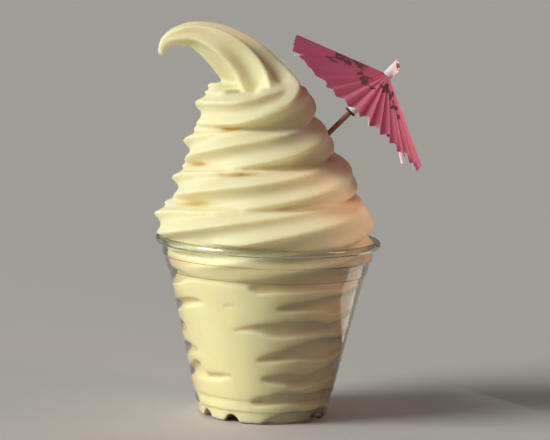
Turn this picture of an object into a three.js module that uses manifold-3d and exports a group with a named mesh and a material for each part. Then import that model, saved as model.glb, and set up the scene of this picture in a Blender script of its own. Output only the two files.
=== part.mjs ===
// Pineapple soft serve piped into a clear plastic cup, with a paper parasol stuck in its side.
// Units are millimetres and +Z is up. The cup stands on z = 0, and the origin is the middle of the
// whole object's footprint box. Up to the last lines everything is placed about the cup's own axis.
import * as THREE from "three";
import { ParametricGeometry } from "three/addons/geometries/ParametricGeometry.js";
import { mergeVertices } from "three/addons/utils/BufferGeometryUtils.js";
import Module from "manifold-3d";

const FULL_TURN = 2 * Math.PI;
const { degToRad, lerp, smoothstep, clamp } = THREE.MathUtils;

// Clearance that separate pieces keep, and the distance under which two corners are one.
const GAP = 0.35;
const WELD = 1e-4;

// Cup: a thermoformed squat cup with a rolled lip, two stacking rings, a step above its feet and
// moulded arches that split the foot ring into long and short feet.
const CUP_HEIGHT = 73;
const CUP_LIP_RADIUS = 46;
const CUP_WALL = 0.5;
const CUP_SLICES = 48;
const FOOT_RADIUS = 26;
const FOOT_HEIGHT = 4.9;
const FOOT_WIDTH = 4.4;
const PANEL_HEIGHT = 2;
const SIDE_FOOT_RADIUS = 26.2;
const SIDE_TAPER = 0.234;
const STEP_HEIGHT = 10;
const LOWER_RING_HEIGHT = 59;
const UPPER_RING_HEIGHT = 65;
const RING_STEP = 0.8;
const RING_BEVEL = 0.5;
const LIP_CURL_RADIUS = 1.4;
const LIP_CURL_END = degToRad(-70);
const LIP_CURL_STEPS = 5;
const ARCH_ANGLES = [-148, -118, -28, 2, 92, 122].map(degToRad);
const ARCH_HALF_ANGLE = degToRad(8);
const ARCH_RISE = 3.2;

// Soft serve: a rope with a six-pointed star section, coiled into the cup and up into a cone.
// Turns are counted from the coil's right-hand side at the lip, where the rope starts turn 0. The
// star twists as it is laid, so its points climb across each turn. Tables hold [turns, value].
const ROPE_POINTS = 6;
const TURN_ZERO_HEIGHT = 68.2;
const CONE_PITCH = 15.14;
const CUP_PITCH = 17;
const COIL_TILT_BACK = 2;
const COIL_TILT_LEFT = 0.8;
const FIRST_TURN = -6;
const LAST_TURN = 6;
const COIL_END_TURN = 4.61;
const COIL_END_TAPER = 0.08;
const COIL_CORE_RADIUS = 6;
const CONE_FOOT_HEIGHT = 78;
const CONE_FOOT_RADIUS = 32.9;
const CONE_TAPER = 0.443;
const CONE_LEAN_START = 72;
const CONE_LEAN = 0.125;
const CUP_PRESS = 1;
const ROPE_HALF_WIDTH_RIGHT = 12.16;
const ROPE_HALF_WIDTH_LEFT = 11.3;
const ROPE_HALF_HEIGHT_RIGHT = 9.8;
const ROPE_HALF_HEIGHT_LEFT = 11;
const LOBE_HEIGHT_RIGHT = 9.6;
const LOBE_HEIGHT_LEFT = 8.9;
const STAR_DEPTH_RIGHT = 0.09;
const STAR_DEPTH = 0.18;
const STAR_POINT_ROUNDING = 0.15;
const STAR_TWIST = 4;
const STAR_LEADS = [
  [0.75, 184],
  [1.75, 57],
  [2.75, 134],
  [3.25, 60],
  [3.55, -250],
  [3.69, -350],
  [3.805, -230],
];
const ROPE_SWELLS = [
  [0, 0],
  [0.5, 1.3],
  [1, 0],
  [1.5, -1.4],
  [2, 2],
  [2.5, -0.7],
  [3, 0.3],
  [3.5, 0],
  [4, 0.9],
  [4.5, 0.4],
];
const SHELF_HEIGHT = 131.3;
const SHELF_ANGLES = [217, 236, 266, 290].map(degToRad);
const CONE_COIL = { bottom: 63, top: 134, dome: 1.5, slices: 58, rowsPerTurn: 9 };
const CUP_COIL_TOP = 69;
const CUP_COIL_SLICES = 40;
const CUP_COIL_ROWS_PER_TURN = 4;
const BULGE_BOTTOM = 69.5;
const BULGE_INSET = 4;
const LIP_CUT_BOTTOM = 66.4;
const FILL_FLOOR = PANEL_HEIGHT + CUP_WALL / 2 + GAP;
const FILL_FLOOR_RADIUS = 19.6;
const FILL_WIDENS_AT = FOOT_HEIGHT + 0.1;

// Tail: the rope's end, pulled up into a ribbed horn that leans over to the left and droops.
// Each station is a place on its middle line and its radius there.
const TAIL_STATIONS = [
  [3, -1, 121, 11.5],
  [2, -3, 127.5, 12.6],
  [-1.5, 0, 131.5, 12.8],
  [-6, 1.5, 136, 12.2],
  [-13, 2, 143, 11.2],
  [-22.2, 1, 149.8, 9.05],
  [-31.5, 0.5, 153.7, 6.2],
  [-39.1, 0, 153.2, 4.3],
  [-43.9, 0, 150.9, 2.8],
  [-45.5, 0, 147.9, 2],
  [-45.9, 0, 145.2, 1],
];
const TAIL_STAR_DEPTH_FOOT = 0.3;
const TAIL_STAR_DEPTH_TIP = 0.14;
const TAIL_LOBE_ANGLE_FOOT = degToRad(97);
const TAIL_LOBE_ANGLE_TIP = degToRad(125);
const TAIL_SLICES = 24;
const TAIL_RINGS_PER_STATION = 2;

// Parasol: a pleated paper cone on ten ribs, carried by a wooden pick. Its pleats stand up from the
// ribs, one panel billows on the left, and the rim hangs longer in front.
const PARASOL_APEX = new THREE.Vector3(46.1, 0, 140.6);
const PARASOL_TILT = degToRad(43.2);
const CANOPY_RADIUS = 36;
const CANOPY_HOLE_RADIUS = 1.5;
const CANOPY_SLOPE = 0.53;
const CANOPY_BILLOW = 0.8;
const LEFT_PANEL_BILLOW = 4.2;
const LEFT_PANEL_ANGLE = degToRad(191);
const LONG_RIM_REACH = 3.5;
const LONG_RIM_ANGLE = degToRad(246);
const CANOPY_THICKNESS = 0.5;
const CANOPY_RINGS = 3;
const PLEATS_PER_RIB = 4;
const PLEAT_DEPTH = 2.4;
const PLEAT_LEFT_SHARE = 0.16;
const RIB_COUNT = 10;
const FIRST_RIB_ANGLE = degToRad(29);
const RIB_WIDTH = 1.8;
const RIB_THICKNESS = 0.5;
const RIB_START = 3.7;
const RIB_END = 34.6;
const DIAGONAL_RIB_END = 37.7;
const RIB_DROOP = 0.3;
const STRUT_WIDTH = 1.4;
const STRUT_THICKNESS = 0.5;
const STRUT_START = 2.65;
const STRUT_LOWER_END = -17.3;
const STRUT_END = 16.5;
const PICK_RADIUS = 1.05;
const PICK_TOP = 6.1;
const PICK_BOTTOM = -73;
const PICK_POINT_LENGTH = 6;
const ROUND_SIDES = 20;
const SLEEVE_BORE = PICK_RADIUS + GAP;
const FINIAL = { radius: 2.2, bottom: -0.1, top: 6.4 };
const HUB = { radius: 3.2, bottom: -5.4, top: -2.6 };
const COLLAR = { radius: 2.2, bottom: -21, top: -16 };
const RETAINER = { radius: 2.4, bottom: -22.2, top: COLLAR.bottom - GAP };

// Finishes, one material for each kind of stuff.
const clearPlastic = new THREE.MeshStandardMaterial({
  color: 0xf2f4f2,
  roughness: 0.06,
  metalness: 0,
  transparent: true,
  opacity: 0.3,
});
const softServe = new THREE.MeshStandardMaterial({ color: 0xf3e6ae, roughness: 0.5, metalness: 0 });
const pinkPaper = new THREE.MeshStandardMaterial({ color: 0xb8405f, roughness: 0.85, metalness: 0 });
const whiteCard = new THREE.MeshStandardMaterial({ color: 0xece9ee, roughness: 0.8, metalness: 0 });
const bambooWood = new THREE.MeshStandardMaterial({ color: 0x9a6248, roughness: 0.7, metalness: 0 });
const blackRubber = new THREE.MeshStandardMaterial({ color: 0x2b2224, roughness: 0.6, metalness: 0 });

const wasm = await Module();
wasm.setup();

// A geometry with only its places left, shared corners merged and collapsed triangles dropped.
function weld(geometry, turnedOver = false) {
  geometry.deleteAttribute("normal");
  geometry.deleteAttribute("uv");
  const merged = mergeVertices(geometry, WELD);
  const corners = merged.index.array;
  const kept = [];
  for (let i = 0; i < corners.length; i += 3) {
    const [a, b, c] = corners.slice(i, i + 3);
    if (a !== b && b !== c && c !== a) kept.push(a, ...(turnedOver ? [c, b] : [b, c]));
  }
  merged.setIndex(kept);
  return merged;
}

// A closed surface from a formula of two parameters that run from 0 to 1.
function formulaSurface(place, slices, stacks) {
  return weld(new ParametricGeometry(place, slices, stacks));
}

// The same, with each patch split along the diagonal that climbs, as the rope's ridges do.
function climbingSurface(place, slices, stacks) {
  const backwards = (u, v, target) => place(1 - u, v, target);
  return weld(new ParametricGeometry(backwards, slices, stacks), true);
}

// Boolean solids from closed geometries, and back.
function solidOf(geometry) {
  const welded = weld(geometry);
  return new wasm.Manifold(
    new wasm.Mesh({
      numProp: 3,
      vertProperties: new Float32Array(welded.attributes.position.array),
      triVerts: new Uint32Array(welded.index.array),
    }),
  );
}

function geometryOf(solid) {
  const mesh = solid.getMesh();
  return new THREE.BufferGeometry()
    .setAttribute("position", new THREE.BufferAttribute(mesh.vertProperties, 3))
    .setIndex(new THREE.BufferAttribute(mesh.triVerts, 1));
}

function named(name, geometry, material) {
  const mesh = new THREE.Mesh(geometry, material);
  mesh.name = name;
  return mesh;
}

// The middle of the cup's wall as [radius, height], from the centre of the base up to the lip's edge.
function cupMidline() {
  const sideAt = (height) => SIDE_FOOT_RADIUS + SIDE_TAPER * height - CUP_WALL / 2;
  const half = CUP_WALL / 2;
  const footInner = FOOT_RADIUS - FOOT_WIDTH;
  const upperRing = sideAt(UPPER_RING_HEIGHT) + 2 * RING_STEP;
  const curlCentre = CUP_LIP_RADIUS - half - LIP_CURL_RADIUS;
  const curlHeight = CUP_HEIGHT - half - LIP_CURL_RADIUS;
  const line = [
    [0, PANEL_HEIGHT],
    [footInner - 1.5, PANEL_HEIGHT],
    [footInner, half],
    [FOOT_RADIUS - 1, half],
    [FOOT_RADIUS + 0.2, 1.3],
    [FOOT_RADIUS + 0.7, FOOT_HEIGHT],
    [FOOT_RADIUS + 1.4, FOOT_HEIGHT + 0.7],
    [sideAt(STEP_HEIGHT) - 0.5, STEP_HEIGHT - 0.4],
    [sideAt(STEP_HEIGHT + RING_BEVEL), STEP_HEIGHT + RING_BEVEL],
    [sideAt(LOWER_RING_HEIGHT), LOWER_RING_HEIGHT],
    [sideAt(LOWER_RING_HEIGHT) + RING_STEP, LOWER_RING_HEIGHT + RING_BEVEL],
    [sideAt(UPPER_RING_HEIGHT) + RING_STEP, UPPER_RING_HEIGHT],
    [upperRing, UPPER_RING_HEIGHT + RING_BEVEL],
  ];
  for (let i = 0; i <= LIP_CURL_STEPS; i++) {
    const angle = lerp(Math.PI, LIP_CURL_END, i / LIP_CURL_STEPS);
    line.push([
      curlCentre + LIP_CURL_RADIUS * Math.cos(angle),
      curlHeight + LIP_CURL_RADIUS * Math.sin(angle),
    ]);
  }
  return line;
}

const CUP_MIDLINE = cupMidline();
const CUP_MIDLINE_FOOT_TOP = 5;

// The radius of the wall's inner face at a height above the feet and below the lip.
function cupInnerRadius(height) {
  const above = CUP_MIDLINE.findIndex(([, z], i) => i > CUP_MIDLINE_FOOT_TOP && z >= height);
  const [r0, z0] = CUP_MIDLINE[above - 1];
  const [r1, z1] = CUP_MIDLINE[above];
  return lerp(r0, r1, clamp((height - z0) / (z1 - z0), 0, 1)) - CUP_WALL / 2;
}

// The closed outline of a shell around its midline: along one face and back along the other.
function shellOutline(midline, thickness) {
  const faces = [1, -1].map((side) =>
    midline.map(([r, z], i) => {
      const [rBefore, zBefore] = midline[Math.max(i - 1, 0)];
      const [rAfter, zAfter] = midline[Math.min(i + 1, midline.length - 1)];
      const along = new THREE.Vector2(rAfter - rBefore, zAfter - zBefore).normalize();
      const reach = (side * thickness) / 2;
      return [r + reach * along.y * Math.sign(r), z - reach * along.x];
    }),
  );
  return [...faces[0], ...faces[1].reverse()];
}

// How far an arch between two feet lifts the foot ring at an angle, from 0 to 1.
function archLift(angle) {
  const nearest = Math.min(
    ...ARCH_ANGLES.map((arch) => Math.abs(Math.atan2(Math.sin(angle - arch), Math.cos(angle - arch)))),
  );
  return 1 - smoothstep(nearest, 0, ARCH_HALF_ANGLE);
}

function makeCup() {
  const outline = shellOutline(CUP_MIDLINE, CUP_WALL);
  const place = (u, v, target) => {
    const angle = ARCH_ANGLES[3] + u * FULL_TURN;
    const [radius, height] = outline[Math.round(v * outline.length) % outline.length];
    const inFoot = radius > FOOT_RADIUS - FOOT_WIDTH - 1 && height < FOOT_HEIGHT;
    const lift = inFoot ? ARCH_RISE * archLift(angle) * (1 - height / FOOT_HEIGHT) : 0;
    target.set(radius * Math.cos(angle), radius * Math.sin(angle), height + lift);
  };
  return named("cup", formulaSurface(place, CUP_SLICES, outline.length), clearPlastic);
}

// The rope's middle: its height after a number of turns, the coil's radius and the coil's lean there.
function ropeHeight(turns, angle) {
  const tilt = COIL_TILT_BACK * Math.sin(angle) - COIL_TILT_LEFT * Math.cos(angle);
  return TURN_ZERO_HEIGHT + turns * (turns > 0 ? CONE_PITCH : CUP_PITCH) + tilt;
}

function ropeRadius(height) {
  if (height > CONE_FOOT_HEIGHT) {
    return Math.max(CONE_FOOT_RADIUS - CONE_TAPER * (height - CONE_FOOT_HEIGHT), 3);
  }
  const wall = cupInnerRadius(clamp(height, FILL_WIDENS_AT + 2, CUP_HEIGHT - 6));
  const inCup = wall - ROPE_HALF_WIDTH_LEFT + CUP_PRESS;
  return lerp(inCup, CONE_FOOT_RADIUS, smoothstep(height, CUP_HEIGHT - 16, CONE_FOOT_HEIGHT));
}

function coilLean(height) {
  return -CONE_LEAN * Math.max(height - CONE_LEAN_START, 0);
}

// A star's outline about its mean, from -1 in a valley to 1 on a point, over its phase.
function starWave(phase) {
  const swing = Math.hypot(Math.sin(phase / 2), STAR_POINT_ROUNDING);
  return 1 - 2 * Math.min(swing, 1);
}

// A table's value at a number of turns, in a straight line between its rows.
function tableAt(rows, turns) {
  const after = rows.findIndex(([at]) => at >= turns);
  if (after < 1) return after < 0 ? rows[rows.length - 1][1] : rows[0][1];
  const [[t0, value0], [t1, value1]] = rows.slice(after - 1, after + 1);
  return lerp(value0, value1, (turns - t0) / (t1 - t0));
}

// The star's phase as the rope twists round itself, a little ahead towards the right.
function starTurn(turns, angle) {
  const lead = degToRad(tableAt(STAR_LEADS, turns));
  return STAR_TWIST * angle + Math.PI + lead * Math.abs(Math.cos(angle / 2));
}

// How far one turn of the rope reaches outwards from its middle at a height above that middle.
function ropeReach(rise, turns, angle) {
  const leftness = (1 - Math.cos(angle)) / 2;
  const share = rise / lerp(ROPE_HALF_HEIGHT_RIGHT, ROPE_HALF_HEIGHT_LEFT, leftness);
  if (Math.abs(share) > 1) return -Infinity;
  const width = lerp(ROPE_HALF_WIDTH_RIGHT, ROPE_HALF_WIDTH_LEFT, leftness);
  const depth = lerp(STAR_DEPTH, STAR_DEPTH_RIGHT, smoothstep(Math.cos(angle), 0.6, 1));
  const down = -Math.asin(clamp(rise / lerp(LOBE_HEIGHT_RIGHT, LOBE_HEIGHT_LEFT, leftness), -1, 1));
  const wave = starWave(ROPE_POINTS * down + starTurn(turns, angle));
  return width * Math.sqrt(1 - share * share) * (1 + depth * wave);
}

// The coil's outer radius about its leaning axis. In front of the tail the top turn ends in a shelf.
function coilRadius(angle, height) {
  const [shelfStart, shelfFull, shelfThins, shelfEnd] = SHELF_ANGLES;
  const onShelf = smoothstep(angle, shelfStart, shelfFull) - smoothstep(angle, shelfThins, shelfEnd);
  let radius = COIL_CORE_RADIUS;
  if (height > lerp(CONE_COIL.top, SHELF_HEIGHT, onShelf)) return radius;
  for (let turn = FIRST_TURN; turn + angle / FULL_TURN < COIL_END_TURN; turn++) {
    const turns = turn + angle / FULL_TURN;
    const middle = ropeHeight(turns, angle);
    const kept = 1 - smoothstep(turns, COIL_END_TURN - COIL_END_TAPER, COIL_END_TURN);
    const reach = tableAt(ROPE_SWELLS, turns) + ropeReach(height - middle, turns, angle);
    radius = Math.max(radius, kept * (ropeRadius(middle) + reach));
  }
  return radius;
}

// The radius that the cup leaves free at a height. The wall's steps a row above and below count too,
// as the skin runs straight from one row to the next.
function fillLimit(height) {
  const rowHeight = CUP_PITCH / CUP_COIL_ROWS_PER_TURN;
  const rooms = [-1, -0.5, 0, 0.5, 1].map((rows) => {
    const near = clamp(height + rows * rowHeight, FILL_WIDENS_AT, CUP_COIL_TOP);
    return cupInnerRadius(near) + SIDE_TAPER * (height - near);
  });
  const wall = Math.min(...rooms) - GAP;
  return lerp(FILL_FLOOR_RADIUS, wall, smoothstep(height, FILL_WIDENS_AT, FILL_WIDENS_AT + 1));
}

// The skin of a length of the coil. Its rows of corners climb with the rope, so that the creases
// stay sharp, and draw in to a point at the bottom and at the top.
function coilSkin({ bottom, top, dome, slices, rowsPerTurn, limit }) {
  const rows = (LAST_TURN - FIRST_TURN) * rowsPerTurn;
  const domeBase = Math.max(2 * dome, CONE_PITCH / rowsPerTurn);
  const place = (u, v, target) => {
    const laps = Math.floor(u);
    const angle = (u - laps) * FULL_TURN;
    const row = Math.round(v * rows) + laps * rowsPerTurn;
    const climbed = ropeHeight(FIRST_TURN + row / rowsPerTurn + (u - laps), angle);
    const height = clamp(climbed, bottom, top);
    const drawnIn = clamp((climbed - height) / domeBase, -1, 1);
    const lean = coilLean(height);
    const free = Math.min(coilRadius(angle, height), limit(height) - Math.abs(lean));
    const radius = free * (1 - Math.abs(drawnIn));
    target.set(
      lean + radius * Math.cos(angle),
      radius * Math.sin(angle),
      height + dome * Math.sin((Math.max(drawnIn, 0) * Math.PI) / 2),
    );
  };
  return climbingSurface(place, slices, rows);
}

// The coil in the cup, pressed flat on the wall, and the coil above it that bulges over the lip.
function cupCoilSkin() {
  return coilSkin({
    bottom: FILL_FLOOR,
    top: CUP_COIL_TOP,
    dome: 0,
    slices: CUP_COIL_SLICES,
    rowsPerTurn: CUP_COIL_ROWS_PER_TURN,
    limit: fillLimit,
  });
}

function coneCoilSkin() {
  const limit = (height) =>
    height > BULGE_BOTTOM ? CUP_LIP_RADIUS : cupInnerRadius(height) - BULGE_INSET;
  return coilSkin({ ...CONE_COIL, limit });
}

// The tail's skin: a star section that shrinks along its path and closes at both ends.
function tailSkin() {
  const places = TAIL_STATIONS.map(([x, y, z]) => new THREE.Vector3(x, y, z));
  const path = new THREE.CatmullRomCurve3(places, false, "centripetal");
  const lastStation = TAIL_STATIONS.length - 1;
  const rings = lastStation * TAIL_RINGS_PER_STATION;
  const radiusAt = (share) => {
    const station = Math.min(Math.floor(share * lastStation), lastStation - 1);
    const [before, after] = TAIL_STATIONS.slice(station, station + 2).map((entry) => entry[3]);
    return lerp(before, after, share * lastStation - station);
  };
  const place = (u, v, target) => {
    const ring = Math.round(v * (rings + 2)) - 1;
    const share = clamp(ring / rings, 0, 1);
    const closed = ring < 0 || ring > rings;
    const along = path.getTangent(share);
    const side = new THREE.Vector3(0, -1, 0).cross(along).normalize();
    const front = new THREE.Vector3().crossVectors(along, side);
    const angle = u * FULL_TURN + lerp(TAIL_LOBE_ANGLE_FOOT, TAIL_LOBE_ANGLE_TIP, share);
    const wave = starWave(ROPE_POINTS * u * FULL_TURN) - starWave(0);
    const depth = lerp(TAIL_STAR_DEPTH_FOOT, TAIL_STAR_DEPTH_TIP, share);
    const radius = closed ? 0 : radiusAt(share) * (1 + depth * wave);
    target
      .copy(path.getPoint(share))
      .addScaledVector(side, radius * Math.cos(angle))
      .addScaledVector(front, radius * Math.sin(angle));
  };
  return formulaSurface(place, TAIL_SLICES, rings + 2);
}

// A solid turned about Z from an outline of [radius, height] that runs up its outer side.
function turned(outline, sides) {
  const points = outline.map((place) => new THREE.Vector2(...place));
  return weld(new THREE.LatheGeometry(points, sides)).rotateX(Math.PI / 2);
}

// A straight round bar or, with a bore, a sleeve along Z.
function roundBar({ radius, bottom, top }, bore = 0) {
  const outline = [
    [bore, bottom],
    [radius, bottom],
    [radius, top],
    [bore, top],
  ];
  if (bore) outline.push([bore, bottom]);
  return turned(outline, ROUND_SIDES);
}

// The room that the cup's lip and upper ring take, with clearance, to cut out of what bulges over it.
function lipRoom() {
  const wallTop = CUP_HEIGHT - 2 * LIP_CURL_RADIUS;
  const outside = CUP_LIP_RADIUS + 9;
  const inside = [LIP_CUT_BOTTOM, wallTop, CUP_HEIGHT + GAP].map((height) => [
    cupInnerRadius(Math.min(height, wallTop)) - GAP,
    height,
  ]);
  const outline = [
    [outside, LIP_CUT_BOTTOM],
    [outside, CUP_HEIGHT + GAP],
    ...inside.reverse(),
    [outside, LIP_CUT_BOTTOM],
  ];
  return turned(outline, CUP_SLICES);
}

// The parasol's own frame has its apex at the origin and the pick along Z.
function parasolFrame() {
  const frame = new THREE.Group();
  frame.position.copy(PARASOL_APEX);
  frame.rotation.y = PARASOL_TILT;
  frame.updateMatrix();
  return frame;
}

function makeSoftServe() {
  const hole = roundBar({ radius: SLEEVE_BORE, bottom: PICK_BOTTOM - GAP, top: HUB.bottom });
  hole.applyMatrix4(parasolFrame().matrix);
  const cuts = solidOf(hole).add(solidOf(lipRoom()));
  const coil = solidOf(cupCoilSkin()).add(solidOf(coneCoilSkin()));
  const piped = coil.add(solidOf(tailSkin())).subtract(cuts);
  return named("soft_serve", geometryOf(piped), softServe);
}

// The rim's radius at an angle.
function rimRadius(angle) {
  return CANOPY_RADIUS + LONG_RIM_REACH * smoothstep(Math.cos(angle - LONG_RIM_ANGLE), 0.75, 1);
}

// The paper's middle at a radius and an angle. A pleat runs from 0, folded in onto the ribs, to 1,
// folded out, and the arch from 0 over a rib to 1 halfway to the next. The left is pulled nearly flat.
function canopyHeight(radius, angle, pleat, arch) {
  const onLeft = smoothstep(Math.cos(angle - LEFT_PANEL_ANGLE), 0.85, 0.97);
  const billow = CANOPY_BILLOW + LEFT_PANEL_BILLOW * onLeft;
  const depth = PLEAT_DEPTH * lerp(PLEAT_LEFT_SHARE, 1, smoothstep(Math.cos(angle), -0.75, 0.4));
  return -CANOPY_SLOPE * radius + ((billow * arch + depth * pleat) * radius) / CANOPY_RADIUS;
}

function makeCanopy() {
  const folds = 2 * RIB_COUNT * PLEATS_PER_RIB;
  const rows = 2 * (CANOPY_RINGS + 1);
  const place = (u, v, target) => {
    const fold = Math.round(u * folds) % folds;
    const row = Math.round(v * rows) % rows;
    const below = row <= CANOPY_RINGS;
    const ring = below ? row : rows - 1 - row;
    const angle = FIRST_RIB_ANGLE + (fold / folds) * FULL_TURN;
    const radius = lerp(CANOPY_HOLE_RADIUS, rimRadius(angle), ring / CANOPY_RINGS);
    const arch = Math.abs(Math.sin(((fold / folds) * RIB_COUNT * FULL_TURN) / 2));
    const height = canopyHeight(radius, angle, fold % 2, arch);
    target.set(
      radius * Math.cos(angle),
      radius * Math.sin(angle),
      height + (below ? -0.5 : 0.5) * CANOPY_THICKNESS,
    );
  };
  return named("parasol_canopy", formulaSurface(place, folds, rows), pinkPaper);
}

// A flat strip in the XZ plane from one place to another, with its upper face on the line.
function strip(from, to, width, thickness) {
  const length = Math.hypot(to[0] - from[0], to[1] - from[1]);
  const bar = new THREE.BoxGeometry(length, width, thickness);
  bar.translate(length / 2, 0, -thickness / 2);
  bar.rotateY(-Math.atan2(to[1] - from[1], to[0] - from[0]));
  bar.translate(from[0], 0, from[1]);
  return bar;
}

// The line that the ribs' upper faces follow, just under the pleats' inner folds.
function ribHeight(radius) {
  const lowestFold = canopyHeight(radius, 0, 0, 0) - CANOPY_THICKNESS / 2 - GAP;
  return lowestFold - (RIB_DROOP * radius) / CANOPY_RADIUS;
}

function ribAngle(number) {
  return FIRST_RIB_ANGLE + ((number - 1) / RIB_COUNT) * FULL_TURN;
}

// The ribs nearest the diagonals stick out past the paper.
function makeRib(number) {
  const onDiagonal = Math.abs(Math.sin(2 * ribAngle(number))) > 0.8;
  const end = onDiagonal ? DIAGONAL_RIB_END : RIB_END;
  const ends = [RIB_START, end].map((radius) => [radius, ribHeight(radius)]);
  const bar = strip(...ends, RIB_WIDTH, RIB_THICKNESS);
  const rib = named(`parasol_rib_${number}`, bar, whiteCard);
  rib.rotation.z = ribAngle(number);
  return rib;
}

function makeStrut(number) {
  const upper = ribHeight(STRUT_END) - RIB_THICKNESS - 2 * GAP;
  const ends = [
    [STRUT_START, STRUT_LOWER_END],
    [STRUT_END, upper],
  ];
  const bar = strip(...ends, STRUT_WIDTH, STRUT_THICKNESS);
  const strut = named(`parasol_strut_${number}`, bar, whiteCard);
  strut.rotation.z = ribAngle(number);
  return strut;
}

function makePick() {
  const outline = [
    [0, PICK_BOTTOM],
    [PICK_RADIUS, PICK_BOTTOM + PICK_POINT_LENGTH],
    [PICK_RADIUS, PICK_TOP],
    [0, PICK_TOP],
  ];
  return named("parasol_pick", turned(outline, ROUND_SIDES), bambooWood);
}

function makeParasol() {
  const parasol = parasolFrame();
  parasol.add(makePick(), makeCanopy());
  parasol.add(named("parasol_finial", roundBar(FINIAL, SLEEVE_BORE), whiteCard));
  parasol.add(named("parasol_hub", roundBar(HUB, SLEEVE_BORE), whiteCard));
  parasol.add(named("parasol_collar", roundBar(COLLAR, SLEEVE_BORE), whiteCard));
  parasol.add(named("parasol_retainer", roundBar(RETAINER, SLEEVE_BORE), blackRubber));
  for (let number = 1; number <= RIB_COUNT; number++) {
    parasol.add(makeRib(number), makeStrut(number));
  }
  return parasol;
}

const dessert = new THREE.Group();
const aboutCupAxis = new THREE.Group();
aboutCupAxis.add(makeCup(), makeSoftServe(), makeParasol());
dessert.add(aboutCupAxis);

// The origin goes under the middle of the footprint box.
const footprint = new THREE.Box3().setFromObject(aboutCupAxis, true).getCenter(new THREE.Vector3());
aboutCupAxis.position.set(-footprint.x, -footprint.y, 0);

export default dessert;
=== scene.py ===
"""Visual model of pineapple soft serve piped into a clear cup, with a paper parasol in its side.

Sizes are millimetres about the cup's own axis, with +Z up and the cup standing on z = 0, and the
camera looks along +Y. `Site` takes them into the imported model's frame, which is in metres.
"""

import logging
import math
from dataclasses import dataclass, field
from enum import Enum
from functools import partial

import bmesh
import bpy
import numpy as np
from bpy.types import Light, Material, Mesh, Node, NodeSocket, NodeTree, Object
from mathutils import Matrix, Vector


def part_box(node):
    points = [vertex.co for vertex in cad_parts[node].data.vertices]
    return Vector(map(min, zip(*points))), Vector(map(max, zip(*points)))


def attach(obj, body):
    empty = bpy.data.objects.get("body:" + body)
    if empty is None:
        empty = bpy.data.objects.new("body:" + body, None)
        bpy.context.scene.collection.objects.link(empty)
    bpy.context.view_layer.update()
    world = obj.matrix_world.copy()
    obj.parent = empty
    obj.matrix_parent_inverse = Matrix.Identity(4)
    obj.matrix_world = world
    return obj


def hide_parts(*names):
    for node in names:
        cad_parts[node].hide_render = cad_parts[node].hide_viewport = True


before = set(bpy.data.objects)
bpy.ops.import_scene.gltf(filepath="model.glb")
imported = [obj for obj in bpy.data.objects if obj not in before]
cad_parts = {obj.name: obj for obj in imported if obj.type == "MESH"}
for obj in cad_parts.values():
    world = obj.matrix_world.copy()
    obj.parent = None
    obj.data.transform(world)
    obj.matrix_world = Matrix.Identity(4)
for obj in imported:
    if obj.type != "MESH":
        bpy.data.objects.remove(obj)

MM = 0.001
TINY = 1e-6
MERGE_DISTANCE = 1e-7
FULL_TURN = 2.0 * math.pi
IMAGE_WIDTH = 550
BODY = "root"
PARASOL_TILT = math.radians(43.2)

MATH = "ShaderNodeMath"
MAP_RANGE = "ShaderNodeMapRange"
NOISE = "ShaderNodeTexNoise"
MIX = "ShaderNodeMix"
VECTOR = "ShaderNodeCombineXYZ"
PRINCIPLED = "ShaderNodeBsdfPrincipled"
EASED = {"interpolation_type": "SMOOTHSTEP"}

Pair = tuple[float, float]
Triple = tuple[float, float, float]
Series = tuple[float, ...]
Numbers = np.ndarray | float
Faces = list[tuple[int, ...]]
Inputs = dict[int | str, object] | tuple[object, ...]
Waves = tuple[tuple[float, float, float, float], ...]

log = logging.getLogger("soft_serve_cup")


class Slot(Enum):
    """The record's material slots."""

    CLEAR_PLASTIC = "clear_plastic"
    SOFT_SERVE = "soft_serve"
    PINK_PAPER = "pink_paper"
    WHITE_CARD = "white_card"
    BAMBOO = "bamboo"
    RETAINER_RUBBER = "retainer_rubber"


def linear(colour: str) -> tuple[float, float, float, float]:
    """Turns an sRGB hex colour into linear light.

    Args:
        colour: Six hex digits after a hash sign.

    Returns:
        Linear red, green, blue and an alpha of 1.
    """
    parts = [int(colour[i : i + 2], 16) / 255.0 for i in (1, 3, 5)]
    light = [p / 12.92 if p <= 0.04045 else ((p + 0.055) / 1.055) ** 2.4 for p in parts]
    return light[0], light[1], light[2], 1.0


def add_node(tree: NodeTree, kind: str, inputs: Inputs = (), **settings: object) -> Node:
    """Adds a node with its settings and links.

    Args:
        tree: The shader or geometry tree.
        kind: Blender's name for the kind of node.
        inputs: What the inputs get, by name or place or all in order: a socket to link, a node whose
            first output is linked, or a value to set.
        settings: The node's own properties.

    Returns:
        The new node.
    """
    node = tree.nodes.new(kind)
    for name, value in settings.items():
        setattr(node, name, value)
    for key, value in inputs.items() if isinstance(inputs, dict) else enumerate(inputs):
        source = value.outputs[0] if isinstance(value, Node) else value
        if isinstance(source, NodeSocket):
            tree.links.new(source, node.inputs[key])
        else:
            node.inputs[key].default_value = source
    return node


def smoothstep(value: Numbers, low: float, high: float) -> np.ndarray:
    """Eases from 0 at low to 1 at high."""
    share = np.clip((np.asarray(value, float) - low) / (high - low), 0.0, 1.0)
    return share * share * (3.0 - 2.0 * share)


def mix(start: Numbers, end: Numbers, share: Numbers) -> np.ndarray:
    """Goes from start to end as share goes from 0 to 1."""
    return start + (end - start) * np.asarray(share, float)


def ripple(waves: Waves, angle: Numbers, height: Numbers) -> Numbers:
    """Adds up waves, each of a size, a count round the axis, a rate up it and a phase."""
    return sum(size * np.sin(count * angle + rate * height + phase) for size, count, rate, phase in waves)


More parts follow.
